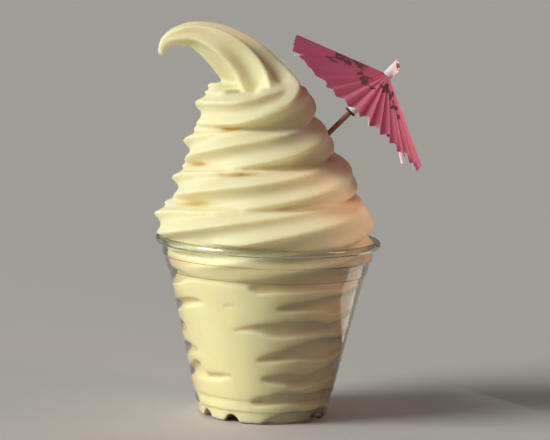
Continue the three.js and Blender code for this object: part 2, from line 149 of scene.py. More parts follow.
def ring_faces(rows: int, columns: int, closed: bool = False) -> Faces:
    """Lists the faces of rings of corners, with the corners numbered ring by ring.

    Args:
        rows: How many rings there are.
        columns: How many corners each ring has.
        closed: Whether the last ring joins the first, instead of both being capped.

    Returns:
        Quads between the rings, and a cap on each end of an open stack.
    """
    low = np.arange(rows if closed else rows - 1)[:, None] * columns
    high = (low + columns) % (rows * columns)
    here = np.arange(columns)[None, :]
    after = (here + 1) % columns
    quads = np.stack([low + here, low + after, high + after, high + here], axis=-1)
    faces: Faces = [tuple(quad) for quad in quads.reshape(-1, 4).tolist()]
    if not closed:
        faces.append(tuple(range(columns))[::-1])
        faces.append(tuple(range((rows - 1) * columns, rows * columns)))
    return faces


@dataclass(frozen=True)
class Site:
    """Where the cup's axis and the parasol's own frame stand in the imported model's frame."""

    axis: Pair
    parasol_apex: Triple = (46.1, 0.0, 140.6)
    parasol_tilt: float = PARASOL_TILT

    @property
    def from_cup(self) -> Matrix:
        """Takes millimetres about the cup's axis into the frame."""
        return Matrix.Translation((self.axis[0], self.axis[1], 0.0)) @ Matrix.Scale(MM, 4)

    @property
    def from_parasol(self) -> Matrix:
        """Takes millimetres about the parasol's apex, with the pick along Z, into the frame."""
        turn = Matrix.Rotation(self.parasol_tilt, 4, "Y")
        return self.from_cup @ Matrix.Translation(self.parasol_apex) @ turn


def make_piece(name: str, mesh: Mesh, material: Material) -> Object:
    """Puts a mesh into the scene as an object at the origin.

    Args:
        name: The piece's name.
        mesh: Its mesh, already in place.
        material: Its finish.

    Returns:
        The new object.
    """
    mesh.name = name
    mesh.materials.clear()
    mesh.materials.append(material)
    piece = bpy.data.objects.new(name, mesh)
    bpy.context.scene.collection.objects.link(piece)
    return piece


def solid_mesh(points: np.ndarray, faces: Faces, place: Matrix) -> Mesh:
    """Makes a closed mesh whose faces point outwards.

    Args:
        points: Corners in millimetres, one row each.
        faces: Corner numbers of each face.
        place: Takes the corners into the frame.

    Returns:
        A smooth-shaded mesh.
    """
    mesh = bpy.data.meshes.new("solid")
    mesh.from_pydata(np.asarray(points, float).tolist(), [], faces)
    mesh.transform(place)
    work = bmesh.new()
    work.from_mesh(mesh)
    bmesh.ops.remove_doubles(work, verts=work.verts, dist=MERGE_DISTANCE)
    bmesh.ops.recalc_face_normals(work, faces=work.faces)
    work.to_mesh(mesh)
    work.free()
    mesh.shade_smooth()
    return mesh


def settle(piece: Object) -> None:
    """Turns a piece with its modifiers into a plain mesh.

    Args:
        piece: The object, which keeps no modifier.
    """
    seen = piece.evaluated_get(bpy.context.evaluated_depsgraph_get())
    mesh = bpy.data.meshes.new_from_object(seen)
    piece.modifiers.clear()
    piece.data = mesh


def finish_piece(piece: Object, slot: Slot, *nodes: str) -> None:
    """Fixes a piece to the one body and says which CAD nodes it stands for.

    Args:
        piece: The finished object.
        slot: The material slot that it takes its finish from; not used.
        nodes: The CAD nodes that it replaces.
    """
    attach(piece, BODY)
    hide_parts(*nodes)
    faces = sum(len(polygon.vertices) - 2 for polygon in piece.data.polygons)
    log.info("%s stands for %s with %d triangles", piece.name, ", ".join(nodes), faces)


@dataclass(frozen=True)
class Finish:
    """What every finish has: a name for its real material and a shader."""

    name: str

    def shader(self, tree: NodeTree) -> Node:
        """Adds the finish's own nodes and gives the last one."""
        raise NotImplementedError

    def build(self) -> Material:
        """Makes the material.

        Returns:
            A material with the finish's shader on its surface.
        """
        material = bpy.data.materials.new(self.name)
        material.use_nodes = True
        tree = material.node_tree
        tree.nodes.clear()
        add_node(tree, "ShaderNodeOutputMaterial", {"Surface": self.shader(tree)})
        return material


@dataclass(frozen=True)
class ClearPlastic(Finish):
    """Thermoformed PET: glass-clear, with a slight draw haze that streaks up the wall."""

    name: str = "thermoformed_pet"
    tint: str = "#F4F6F4"
    # Painted shade: the colour that the wall takes where it is seen at a slant.
    edge: str = "#B5ACA0"
    ior: float = 1.57
    haze_width_mm: float = 2.5
    haze_detail: float = 2.0
    haze_stretch: Triple = (1.0, 1.0, 0.15)
    haze_band: Pair = (0.35, 0.75)
    roughness: Pair = (0.02, 0.07)
    slant_blend: float = 0.5
    slant_band: Pair = (0.15, 0.8)

    def shader(self, tree: NodeTree) -> Node:
        """Lets light straight through to what the cup holds.

        Args:
            tree: The material's empty tree.

        Returns:
            The node that gives the shader.
        """
        place = add_node(tree, "ShaderNodeTexCoord").outputs["Object"]
        drawn = add_node(tree, "ShaderNodeMapping", {"Vector": place, "Scale": self.haze_stretch})
        streaks = {"Vector": drawn, "Scale": 1.0 / (self.haze_width_mm * MM), "Detail": self.haze_detail}
        haze = add_node(tree, NOISE, streaks).outputs["Fac"]
        rough = add_node(tree, MAP_RANGE, (haze, *self.haze_band, *self.roughness))
        # Painted shade: the wall is tinted darker where it is seen at a slant, which stands in for the
        # darker reflections at its edges.
        slant = add_node(tree, "ShaderNodeLayerWeight", {"Blend": self.slant_blend}).outputs["Facing"]
        edge_shade = add_node(tree, MAP_RANGE, (slant, *self.slant_band, 0.0, 1.0))
        shades = {0: edge_shade, 6: linear(self.tint), 7: linear(self.edge)}
        shade = add_node(tree, MIX, shades, data_type="RGBA").outputs[2]
        looks = {"Base Color": shade, "IOR": self.ior, "Transmission Weight": 1.0, "Roughness": rough}
        plastic = add_node(tree, PRINCIPLED, looks)
        clear = add_node(tree, "ShaderNodeBsdfTransparent", {"Color": linear(self.tint)})
        shadow = add_node(tree, "ShaderNodeLightPath").outputs["Is Shadow Ray"]
        return add_node(tree, "ShaderNodeMixShader", (shadow, plastic, clear))


@dataclass(frozen=True)
class SoftServe(Finish):
    """Pineapple soft serve: a satin cream with fine ice grain, and painted shade in deeper yellow down in
    its creases.
    """

    name: str = "pineapple_soft_serve"
    cream: str = "#F0ECC7"
    custard: str = "#EAE2AE"
    # Painted shade: the deeper yellow laid into creases, pockets and air gaps on the wall.
    pocket_shade: str = "#CFA046"
    grain_mm: float = 0.9
    grain_detail: float = 3.0
    cloud_mm: float = 16.0
    cloud_detail: float = 2.0
    roughness: Pair = (0.4, 0.58)
    bump: Pair = (0.12, 0.2)
    ior: float = 1.38
    glow: float = 0.85
    glow_radius: Triple = (1.0, 0.72, 0.36)
    glow_mm: float = 5.0

    def shader(self, tree: NodeTree) -> Node:
        """Joins clouds of colour, the painted crease shade and a fine grain.

        Args:
            tree: The material's empty tree.

        Returns:
            The node that gives the shader.
        """
        place = add_node(tree, "ShaderNodeTexCoord").outputs["Object"]
        clouds = {"Vector": place, "Scale": 1.0 / (self.cloud_mm * MM), "Detail": self.cloud_detail}
        cloud = add_node(tree, NOISE, clouds).outputs["Fac"]
        creams = {0: cloud, 6: linear(self.cream), 7: linear(self.custard)}
        body = add_node(tree, MIX, creams, data_type="RGBA").outputs[2]
        # Painted shade: the stored share mixes the deeper yellow into creases, pockets and air gaps.
        painted_shade = add_node(tree, "ShaderNodeAttribute", attribute_name="painted_shade").outputs["Fac"]
        colours = {0: painted_shade, 6: body, 7: linear(self.pocket_shade)}
        colour = add_node(tree, MIX, colours, data_type="RGBA").outputs[2]
        # The ice grain is under 0.1 mm across and is drawn coarser, so that it shows.
        ice = {"Vector": place, "Scale": 1.0 / (self.grain_mm * MM), "Detail": self.grain_detail}
        grain = add_node(tree, NOISE, ice).outputs["Fac"]
        strength, depth = self.bump
        relief = {"Strength": strength, "Distance": depth * MM, "Height": grain}
        looks = {
            "Base Color": colour,
            "Roughness": add_node(tree, MAP_RANGE, (grain, 0.0, 1.0, *self.roughness)),
            "IOR": self.ior,
            "Subsurface Weight": self.glow,
            "Subsurface Radius": self.glow_radius,
            "Subsurface Scale": self.glow_mm * MM,
            "Normal": add_node(tree, "ShaderNodeBump", relief),
        }
        return add_node(tree, PRINCIPLED, looks)


@dataclass(frozen=True)
class PrintedTissue(Finish):
    """Dyed tissue paper with a dark sprig print: matt, fibrous, and light shines through it."""

    name: str = "printed_tissue_paper"
    dye: str = "#B94E7B"
    pale: str = "#E8A4C0"
    ink: str = "#55483F"
    fibre_mm: float = 0.7
    fibre_detail: float = 4.0
    fibre_roughness: float = 0.65
    fibre_share: float = 0.5
    # Painted light: where and how pale the pleat crests are drawn, as if lit.
    fold_band: Pair = (0.25, 0.9)
    fold_light: float = 0.9
    bump: Pair = (0.2, 0.08)
    roughness: float = 0.78
    ior: float = 1.45
    through: float = 0.5

    def shader(self, tree: NodeTree) -> Node:
        """Joins fibres, painted light along the pleat crests, the print attribute and a share of through
        light.

        Args:
            tree: The material's empty tree.

        Returns:
            The node that gives the shader.
        """
        place = add_node(tree, "ShaderNodeTexCoord").outputs["Object"]
        fibres = {
            "Vector": place,
            "Scale": 1.0 / (self.fibre_mm * MM),
            "Detail": self.fibre_detail,
            "Roughness": self.fibre_roughness,
        }
        fibre = add_node(tree, NOISE, fibres).outputs["Fac"]
        # Painted light: the pleat crests are drawn paler, as if lit; this is not wear.
        fold = add_node(tree, "ShaderNodeAttribute", attribute_name="fold").outputs["Fac"]
        worn = add_node(tree, MAP_RANGE, (fold, *self.fold_band, 0.0, self.fold_light), **EASED)
        fibre_and_pleat_light = add_node(tree, MATH, (fibre, self.fibre_share, worn), operation="MULTIPLY_ADD")
        dyes = {0: fibre_and_pleat_light, 6: linear(self.dye), 7: linear(self.pale)}
        dyed = add_node(tree, MIX, dyes, data_type="RGBA").outputs[2]
        sprigs = add_node(tree, "ShaderNodeAttribute", attribute_name="print").outputs["Fac"]
        colours = {0: sprigs, 6: dyed, 7: linear(self.ink)}
        colour = add_node(tree, MIX, colours, data_type="RGBA").outputs[2]
        strength, depth = self.bump
        relief = {"Strength": strength, "Distance": depth * MM, "Height": fibre}
        bump = add_node(tree, "ShaderNodeBump", relief)
        looks = {"Base Color": colour, "Roughness": self.roughness, "IOR": self.ior, "Normal": bump}
        paper = add_node(tree, PRINCIPLED, looks)
        glow = add_node(tree, "ShaderNodeBsdfTranslucent", {"Color": colour, "Normal": bump})
        return add_node(tree, "ShaderNodeMixShader", (self.through, paper, glow))


@dataclass(frozen=True)
class Grained(Finish):
    """A dull finish of two shades in a fine grain, which may be stretched along a leaning stick."""

    shades: tuple[str, str]
    grain_mm: float
    roughness: float
    ior: float
    detail: float = 3.0
    grain_roughness: float = 0.5
    bump: Pair | None = None
    lean: float = 0.0
    stretch: Triple = (1.0, 1.0, 1.0)

    def shader(self, tree: NodeTree) -> Node:
        """Mixes the shades by the grain, which also stands up a little where the finish has a bump.

        Args:
            tree: The material's empty tree.

        Returns:
            The node that gives the shader.
        """
        place = add_node(tree, "ShaderNodeTexCoord").outputs["Object"]
        along = add_node(tree, "ShaderNodeMapping", {"Vector": place, "Rotation": (0.0, -self.lean, 0.0)})
        stretched = add_node(tree, "ShaderNodeMapping", {"Vector": along, "Scale": self.stretch})
        fibres = {
            "Vector": stretched,
            "Scale": 1.0 / (self.grain_mm * MM),
            "Detail": self.detail,
            "Roughness": self.grain_roughness,
        }
        grain = add_node(tree, NOISE, fibres).outputs["Fac"]
        first, second = self.shades
        shades = {0: grain, 6: linear(first), 7: linear(second)}
        colour = add_node(tree, MIX, shades, data_type="RGBA").outputs[2]
        looks = {"Base Color": colour, "Roughness": self.roughness, "IOR": self.ior}
        if self.bump:
            strength, depth = self.bump
            relief = {"Strength": strength, "Distance": depth * MM, "Height": grain}
            looks["Normal"] = add_node(tree, "ShaderNodeBump", relief)
        return add_node(tree, PRINCIPLED, looks)


@dataclass(frozen=True)
class WhiteCard(Grained):
    """Uncoated white card and rolled paper: matt, with soft grey fibre clouds."""

    name: str = "uncoated_white_card"
    shades: tuple[str, str] = ("#F1EFF4", "#D9D6DE")
    grain_mm: float = 0.8
    roughness: float = 0.7
    ior: float = 1.48
    detail: float = 5.0
    grain_roughness: float = 0.6
    bump: Pair = (0.25, 0.06)


@dataclass(frozen=True)
class BambooWood(Grained):
    """Turned bamboo: reddish brown, with pale and dark fibres along the stick and a dull shine."""

    name: str = "turned_bamboo"
    shades: tuple[str, str] = ("#6E3C2A", "#B5744F")
    grain_mm: float = 0.35
    roughness: float = 0.48
    ior: float = 1.5
    bump: Pair = (0.3, 0.05)
    lean: float = PARASOL_TILT
    stretch: Triple = (1.0, 1.0, 0.06)


@dataclass(frozen=True)
class BlackRubber(Grained):
    """Cut rubber tube: near black, dull, with a dusty bloom."""

    name: str = "cut_black_rubber"
    shades: tuple[str, str] = ("#231C1E", "#3A3234")
    grain_mm: float = 0.5
    roughness: float = 0.6
    ior: float = 1.52


@dataclass(frozen=True)
class PaleFloor(Finish):
    """Plain matt studio floor."""

    name: str = "pale_floor"
    pale: str = "#C9C6C2"
    roughness: float = 0.7

    def shader(self, tree: NodeTree) -> Node:
        """Gives one plain colour."""
        return add_node(tree, PRINCIPLED, {"Base Color": linear(self.pale), "Roughness": self.roughness})


@dataclass
class Cup:
    """A thermoformed squat cup with a rolled lip, two stacking rings and arches between its feet."""

    site: Site
    height: float = 73.0
    lip_radius: float = 46.0
    wall: float = 0.5
    slices: int = 360
    foot_radius: float = 26.0
    foot_height: float = 4.9
    foot_width: float = 4.4
    panel_height: float = 2.0
    side_foot_radius: float = 26.2
    side_taper: float = 0.234
    step_height: float = 10.0
    ring_heights: Pair = (59.0, 65.0)
    ring_step: float = 0.8
    ring_bevel: float = 0.5
    lip_curl_radius: float = 1.4
    lip_curl_end: float = math.radians(-70.0)
    arch_angles: Series = (-148.0, -118.0, -28.0, 2.0, 92.0, 122.0)
    arch_half_angle: float = 8.0
    arch_rise: float = 3.2
    arch_shape: float = 0.7
    corner_round: float = 0.28
    round_limit: float = 0.4
    round_shares: Series = (0.0, 0.33, 0.67, 1.0)
    # Widths and rises of the section's corners from the base panel up to the step.
    panel_bevel: float = 1.5
    foot_corner: Pair = (1.0, 1.3)
    foot_lean: Triple = (0.2, 0.7, 1.4)
    foot_margin: float = 1.0
    ledge_rise: float = 0.7
    step_bevel: Pair = (0.5, 0.4)
    curl_points: int = 16
    # The midline's points from the foot's corner up to the lip's curl.
    wall_points: tuple[int, int] = (4, 15)

    def midline(self) -> np.ndarray:
        """Traces the middle of the wall.

        Returns:
            Rows of radius and height, from the centre of the base up to the lip's edge.
        """
        half = self.wall / 2
        low, high = self.ring_heights

        def side(at: float) -> float:
            """The plain side's radius at a height."""
            return self.side_foot_radius + self.side_taper * at - half

        inner = self.foot_radius - self.foot_width
        line = [
            (0.0, self.panel_height),
            (inner - self.panel_bevel, self.panel_height),
            (inner, half),
            (self.foot_radius - self.foot_corner[0], half),
            (self.foot_radius + self.foot_lean[0], self.foot_corner[1]),
            (self.foot_radius + self.foot_lean[1], self.foot_height),
            (self.foot_radius + self.foot_lean[2], self.foot_height + self.ledge_rise),
            (side(self.step_height) - self.step_bevel[0], self.step_height - self.step_bevel[1]),
            (side(self.step_height + self.ring_bevel), self.step_height + self.ring_bevel),
            (side(low), low),
            (side(low) + self.ring_step, low + self.ring_bevel),
            (side(high) + self.ring_step, high),
            (side(high) + 2 * self.ring_step, high + self.ring_bevel),
        ]
        curl = np.linspace(math.pi, self.lip_curl_end, self.curl_points)
        outwards = self.lip_radius - half - self.lip_curl_radius + self.lip_curl_radius * np.cos(curl)
        upwards = self.height - half - self.lip_curl_radius + self.lip_curl_radius * np.sin(curl)
        return np.array([*line, *zip(outwards, upwards)])

    def outline(self) -> np.ndarray:
        """Traces the wall's section.

        Returns:
            A closed line of radius and height along the outer face and back along the inner one.
        """
        line = self.midline()
        along = np.gradient(line, axis=0)
        along /= np.linalg.norm(along, axis=1)[:, None]
        across = np.stack([along[:, 1], -along[:, 0]], axis=1) * self.wall / 2
        across[0, 0] = 0.0
        faces = [self.rounded(line + across), self.rounded(line - across)]
        return np.concatenate([faces[0], faces[1][::-1]])

    def rounded(self, line: np.ndarray) -> np.ndarray:
        """Rounds the corners of an open line.

        Args:
            line: Rows of radius and height.

        Returns:
            The line with each inner corner turned into a short curve.
        """
        kept = [line[0]]
        for before, corner, after in zip(line[:-2], line[1:-1], line[2:]):
            ends = []
            for other in (before, after):
                reach = np.linalg.norm(other - corner)
                ends.append(corner + (other - corner) * min(self.corner_round / reach, self.round_limit))
            for share in self.round_shares:
                first = mix(ends[0], corner, share)
                second = mix(corner, ends[1], share)
                kept.append(mix(first, second, share))
        kept.append(line[-1])
        return np.array(kept)

    def inner_radius(self, height: Numbers) -> np.ndarray:
        """Reads the inner face's radius.

        Args:
            height: Heights from the foot's corner up to the lip's own curl.

        Returns:
            The radius at each height.
        """
        first, end = self.wall_points
        wall = self.midline()[first:end]
        return np.interp(height, wall[:, 1], wall[:, 0]) - self.wall / 2

    def arch(self, angle: np.ndarray) -> np.ndarray:
        """How far the arches lift the foot ring.

        Args:
            angle: Angles round the cup.

        Returns:
            From 0 between the arches to 1 in the middle of one.
        """
        middles = np.radians(self.arch_angles)
        apart = np.abs(np.angle(np.exp(1j * (np.asarray(angle)[..., None] - middles)))).min(axis=-1)
        share = np.clip(apart / math.radians(self.arch_half_angle), 0.0, 1.0)
        return (1.0 - share**2) ** self.arch_shape

    def build(self) -> Mesh:
        """Turns the section round the axis and lifts the arches.

        Returns:
            The cup's mesh.
        """
        outline = self.outline()
        angle = np.arange(self.slices) / self.slices * FULL_TURN
        radius = np.broadcast_to(outline[:, :1], (len(outline), self.slices))
        height = np.broadcast_to(outline[:, 1:], radius.shape)
        inside = self.foot_radius - self.foot_width - self.foot_margin
        in_foot = (radius > inside) & (height < self.foot_height)
        rise = self.arch_rise * self.arch(angle)[None, :] * (1.0 - height / self.foot_height)
        height = height + np.where(in_foot, rise, 0.0)
        points = np.stack([radius * np.cos(angle), radius * np.sin(angle), height], axis=-1)
        faces = ring_faces(len(outline), self.slices, closed=True)
        return solid_mesh(points.reshape(-1, 3), faces, self.site.from_cup)

    def dress(self) -> None:
        """Builds the cup in its finish and fixes it in place."""
        piece = make_piece("cup_shell", self.build(), ClearPlastic().build())
        finish_piece(piece, Slot.CLEAR_PLASTIC, "cup")


@dataclass
class Swirl:
    """A rope of soft serve with a star section, coiled in the cup and up into a cone with a tail."""

    site: Site
    cup: Cup
    points: int = 6
    turn_zero_height: float = 68.2
    cone_pitch: float = 15.14
    cup_pitch: float = 17.0
    tilt_back: float = 2.0
    tilt_left: float = 0.8
    first_turn: int = -6
    last_turn: int = 5
    end_turn: float = 4.61
    end_taper: float = 0.08
    core_radius: float = 6.0
    least_radius: float = 3.0
    wall_margins: Pair = (7.0, 6.0)
    wall_overlap: float = 1.0
    cone_blend: float = 16.0
    cup_to_cone: Pair = (61.0, 70.0)
    cone_foot_height: float = 78.0
    cone_foot_radius: float = 32.9
    cone_taper: float = 0.443
    lean_start: float = 72.0
    lean: float = 0.125
    # The rope's sizes on the right and on the left.
    half_width: Pair = (12.16, 11.3)
    half_height: Pair = (9.8, 11.0)
    lobe_height: Pair = (9.6, 8.9)
    star_depth: Pair = (0.09, 0.18)
    star_rounding: float = 0.15
    star_twist: int = 4
    smooth_side: Pair = (0.6, 1.0)
    wander: Waves = ((0.25, 2.0, 0.06, 0.0), (0.2, 3.0, -0.11, 1.0))
    lead_turns: Series = (0.75, 1.75, 2.75, 3.25, 3.55, 3.69, 3.805)
    leads: Series = (184.0, 57.0, 134.0, 60.0, -250.0, -350.0, -230.0)
    swell_turns: Series = (0.0, 0.5, 1.0, 1.5, 2.0, 2.5, 3.0, 3.5, 4.0, 4.5)
    swells: Series = (0.0, 1.3, 0.0, -1.4, 2.0, -0.7, 0.3, 0.0, 0.9, 0.4)
    # Each pocket's bearing in degrees and about its height, then the pockets' half width in degrees,
    # half height and depth.
    pockets: tuple[Pair, ...] = (
        (206.0, 101.5),
        (254.0, 97.6),
        (218.0, 90.5),
        (344.0, 104.0),
        (345.0, 87.0),
        (243.0, 115.5),
    )
    pocket_size: Triple = (13.0, 0.8, 1.7)
    pocket_search: tuple[float, int] = (3.5, 57)
    # Painted shade: how deep below the crest, and how far off the cup wall, a place must lie for the deeper
    # yellow, and how much it gets.
    crest_share: float = 0.95
    crease_depth: Pair = (3.4, 4.0)
    crease_heights: Pair = (66.0, 128.0)
    crease_shade_most: float = 0.6
    most_shade: float = 0.85
    gap_shade_depth: Pair = (0.15, 0.8)
    cup_shade: Pair = (0.05, 0.36)
    top: float = 135.2
    shelf: float = 131.3
    shelf_angles: Series = (217.0, 236.0, 266.0, 290.0)
    top_round: float = 1.6
    floor: float = 0.45
    row_height: float = 0.4
    slices: int = 360
    voxel: float = 0.7
    smooth_share: float = 0.5
    smooth_rounds: int = 2
    into_wall: float = 0.12
    lip_margin: float = 2.0
    lip_clear: float = 0.15
    lip_flare: float = 4.0
    widest: float = 60.0
    foot_slope: Pair = (1.2, 0.1)
    panel_clear: float = 0.15
    foot_clear: float = 0.4
    fold_spacing: float = 9.8
    fold_phase: float = 2.5
    fold_depth: float = 2.8
    fold_waves: Waves = ((0.9, 2.0, 0.17, 0.0), (0.6, 5.0, -0.31, 0.0))
    patch_waves: Waves = ((0.5, 3.0, 0.23, 0.0), (0.4, -4.0, 0.41, 0.0))
    jag_waves: Waves = ((0.45, 9.0, -0.7, 0.0),)
    most_press: float = 1.0
    gap_depth: float = 2.2
    gap_edge: float = 2.2
    press_angles: Series = (0, 90, 150, 180, 200, 240, 262, 285, 300, 330, 360)
    presses: Series = (0.8, 1.2, 1.4, 1.5, 2.1, 3.6, 3.0, 1.3, 0.9, 0.8, 0.8)
    # Each hollow's bearing and height, its half width in degrees, half height and depth.
    hollows: tuple[Series, ...] = ((209.0, 21.7, 8.0, 3.0, 3.4), (265.0, 56.0, 10.0, 1.8, 3.4))
    ring_gap: float = 1.5
    ring_gap_rise: float = 2.5
    tail_turns: Series = (3.52, 3.6, 3.68, 3.76, 3.84)
    # In turns: where the tail leaves the coil, how far the coil's last turns take it and where it stops.
    tail_bearing: Triple = (0.52, 0.32, 0.86)
    # Places along the tail and its radius there.
    tail_stations: tuple[Series, ...] = (
        (2.0, -3.0, 127.5, 12.6),
        (-1.5, 0.0, 131.5, 12.8),
        (-6.0, 1.5, 136.0, 12.2),
        (-13.0, 2.0, 143.0, 11.2),
        (-22.2, 1.0, 149.8, 9.05),
        (-31.5, 0.5, 153.7, 6.2),
        (-39.1, 0.0, 153.2, 4.3),
        (-43.9, 0.0, 150.9, 2.8),
        (-45.5, 0.0, 147.9, 2.0),
        (-45.9, 0.0, 146.0, 1.6),
        (-46.0, 0.0, 144.9, 0.8),
    )
    tail_depth: Pair = (0.23, 0.14)
    tail_twist: float = math.radians(35.0)
    tail_twist_spans: float = 4.5
    tail_inset: float = 0.97
    tail_inset_end: Pair = (0.02, 0.2)
    tail_samples: int = 14
    tail_sides: int = 120

    def rope_height(self, turns: Numbers, angle: Numbers) -> np.ndarray:
        """The height of the rope's middle.

        Args:
            turns: How many turns the rope has made since the one at the lip.
            angle: The angle round the coil where it is.

        Returns:
            The height, on a coil that is tilted a little.
        """
        pitch = np.where(np.asarray(turns) > 0, self.cone_pitch, self.cup_pitch)
        tilt = self.tilt_back * np.sin(angle) - self.tilt_left * np.cos(angle)
        return self.turn_zero_height + turns * pitch + tilt

    def rope_radius(self, height: Numbers) -> np.ndarray:
        """The coil's radius to the rope's middle.

        Args:
            height: Heights of the rope's middle.

        Returns:
            A radius that follows the wall in the cup and tapers to a cone above it.
        """
        tapered = self.cone_foot_radius - self.cone_taper * (height - self.cone_foot_height)
        cone = np.maximum(tapered, self.least_radius)
        above, below = self.wall_margins
        wall = self.cup.inner_radius(np.clip(height, above, self.cup.height - below))
        in_cup = wall - self.half_width[1] + self.wall_overlap
        blend = smoothstep(height, self.cup.height - self.cone_blend, self.cone_foot_height)
        lower = mix(in_cup, self.cone_foot_radius, blend)
        return np.where(np.asarray(height) > self.cone_foot_height, cone, lower)

    def axis_shift(self, height: Numbers) -> np.ndarray:
        """Where the cone's axis lies along X at a height, as it leans to the left."""
        return -self.lean * np.maximum(np.asarray(height) - self.lean_start, 0.0)

    def star(self, phase: np.ndarray) -> np.ndarray:
        """A star's outline about its mean over its phase, with rounded points and sharper valleys."""
        swing = np.hypot(np.sin(phase / 2), self.star_rounding)
        return 1.0 - 2.0 * np.minimum(swing, 1.0)

    def star_turn(self, turns: Numbers, angle: Numbers) -> np.ndarray:
        """The star's phase as the rope twists round itself, with each turn's lead towards the right."""
        lead = np.radians(np.interp(turns, self.lead_turns, self.leads))
        return self.star_twist * np.asarray(angle) + math.pi + lead * np.abs(np.cos(np.asarray(angle) / 2))

    def by_side(self, pair: Pair, angle: Numbers) -> np.ndarray:
        """Goes from a size's value on the right to its value on the left."""
        return mix(pair[0], pair[1], (1.0 - np.cos(angle)) / 2)

    def ridge_depth(self, angle: Numbers) -> np.ndarray:
        """The depth of the star's valleys, which are smoothed out only on the right-hand side."""
        right = smoothstep(np.cos(angle), *self.smooth_side)
        return mix(self.star_depth[1], self.star_depth[0], right)

    def coil_radius(self, angle: np.ndarray, height: np.ndarray) -> np.ndarray:
        """The coil's outer radius about its axis.

        Args:
            angle: Angles round the coil.
            height: Heights that go with them.

        Returns:
            The radius that the furthest turn reaches at each place.
        """
        radius = np.full(np.broadcast(angle, height).shape, self.core_radius)
        half_height = self.by_side(self.half_height, angle)
        lobe_height = self.by_side(self.lobe_height, angle)
        half_width = self.by_side(self.half_width, angle)
        depth = self.ridge_depth(angle)
        wander = ripple(self.wander, angle, height)
        for turn in range(self.first_turn, self.last_turn + 1):
            turns = turn + angle / FULL_TURN
            middle = self.rope_height(turns, angle)
            share = (height - middle) / half_height
            down = -np.arcsin(np.clip((height - middle) / lobe_height, -1.0, 1.0))
            wave = self.star(self.points * down + self.star_turn(turns, angle) + wander)
            section = np.sqrt(np.maximum(1.0 - share**2, 0.0))
            reach = half_width * section * (1.0 + depth * wave)
            swell = np.interp(turns, self.swell_turns, self.swells)
            kept = 1.0 - smoothstep(turns, self.end_turn - self.end_taper, self.end_turn)
            here = kept * (self.rope_radius(middle) + swell + reach)
            radius = np.maximum(radius, np.where(np.abs(share) < 1.0, here, 0.0))
        return radius

    def pressed_radius(self, angle: np.ndarray, height: np.ndarray) -> np.ndarray:
        """How far the folds in the cup would reach out if the wall let them.

        Args:
            angle: Angles round the cup.
            height: Heights that go with them.

        Returns:
            Radii past the wall where a fold presses on it, and short of it where air is left.
        """
        climb = self.fold_spacing * angle / FULL_TURN
        ragged = ripple(self.fold_waves, angle, height)
        phase = FULL_TURN * (height - climb + ragged + self.fold_phase) / self.fold_spacing
        fold = 0.5 - 0.5 * np.cos(phase)
        press = np.interp(np.degrees(angle), self.press_angles, self.presses)
        patchy = ripple(self.patch_waves, angle, height)
        jagged = ripple(self.jag_waves, angle, height)
        reach = press + patchy + jagged - self.fold_depth * fold
        for bearing, middle, wide, tall, deep in self.hollows:
            away = np.hypot((np.degrees(angle) - bearing) / wide, (height - middle) / tall)
            reach = reach - deep * np.exp(-(away**2))
        reach = np.where(reach < 0.0, -self.gap_depth * (1.0 - np.exp(self.gap_edge * reach)), reach)
        ring = self.cup.ring_heights[0]
        gap = self.ring_gap * smoothstep(height, ring - self.ring_gap_rise, ring)
        return self.cup.inner_radius(height) + np.minimum(reach, self.most_press) - gap

    def limit(self, height: np.ndarray) -> np.ndarray:
        """The radius that the cup leaves.

        Args:
            height: Heights in the cup or above it.

        Returns:
            A touch more than the wall's inner face below the lip, and ever more above it.
        """
        lip = self.cup.height
        wall = self.cup.inner_radius(np.minimum(height, lip - self.lip_margin)) + self.into_wall
        over = np.maximum(height - lip - self.lip_clear, 0.0) * self.lip_flare
        return np.where(height < lip + self.lip_clear, wall, np.minimum(wall + over, self.widest))

    def pocketed(self, angle: np.ndarray, height: np.ndarray) -> np.ndarray:
        """How deep the small air pockets lie in the creases at each place.

        Args:
            angle: Angles round the coil.
            height: Heights that go with them.

        Returns:
            Depths, each pocket in the crease nearest to its given height.
        """
        wide, tall, deep = self.pocket_size
        depth = np.zeros(np.broadcast(angle, height).shape)
        reach, count = self.pocket_search
        for bearing, near in self.pockets:
            heights = np.linspace(near - reach, near + reach, count)
            sloping = self.coil_radius(np.full(count, math.radians(bearing)), heights)
            levelled = sloping + self.cone_taper * heights
            middle = heights[np.argmin(levelled)]
            climb = self.cone_pitch / 360.0 * (np.degrees(angle) - bearing)
            away = np.hypot((np.degrees(angle) - bearing) / wide, (height - middle - climb) / tall)
            depth = depth + deep * np.exp(-(away**2))
        return depth

    def coil_skin(self) -> tuple[np.ndarray, Faces]:
        """Makes the skin of the coil.

        Returns:
            Corners and faces of level rings, closed at the floor and at the top.
        """
        height = np.arange(self.floor, self.top, self.row_height)[:, None]
        angle = (np.arange(self.slices) / self.slices * FULL_TURN)[None, :]
        above = smoothstep(height, *self.cup_to_cone)
        free = mix(self.pressed_radius(angle, height), self.coil_radius(angle, height), above)
        shift = self.axis_shift(height)
        radius = np.minimum(free, self.limit(height) - np.abs(shift)) - self.pocketed(angle, height)
        bearing = np.degrees(angle)
        on_shelf = smoothstep(bearing, *self.shelf_angles[:2]) - smoothstep(bearing, *self.shelf_angles[2:])
        top = mix(self.top, self.shelf, on_shelf)
        near_top = np.clip((height - top + self.top_round) / self.top_round, 0.0, 1.0)
        radius -= self.top_round * (1.0 - np.sqrt(1.0 - near_top**2))
        radius = np.where(height > top, np.minimum(radius, self.core_radius), radius)
        x = shift + radius * np.cos(angle)
        y = radius * np.sin(angle)
        z = np.broadcast_to(height, x.shape)
        points = np.stack([x, y, z], axis=-1).reshape(-1, 3)
        return points, ring_faces(len(height), self.slices)

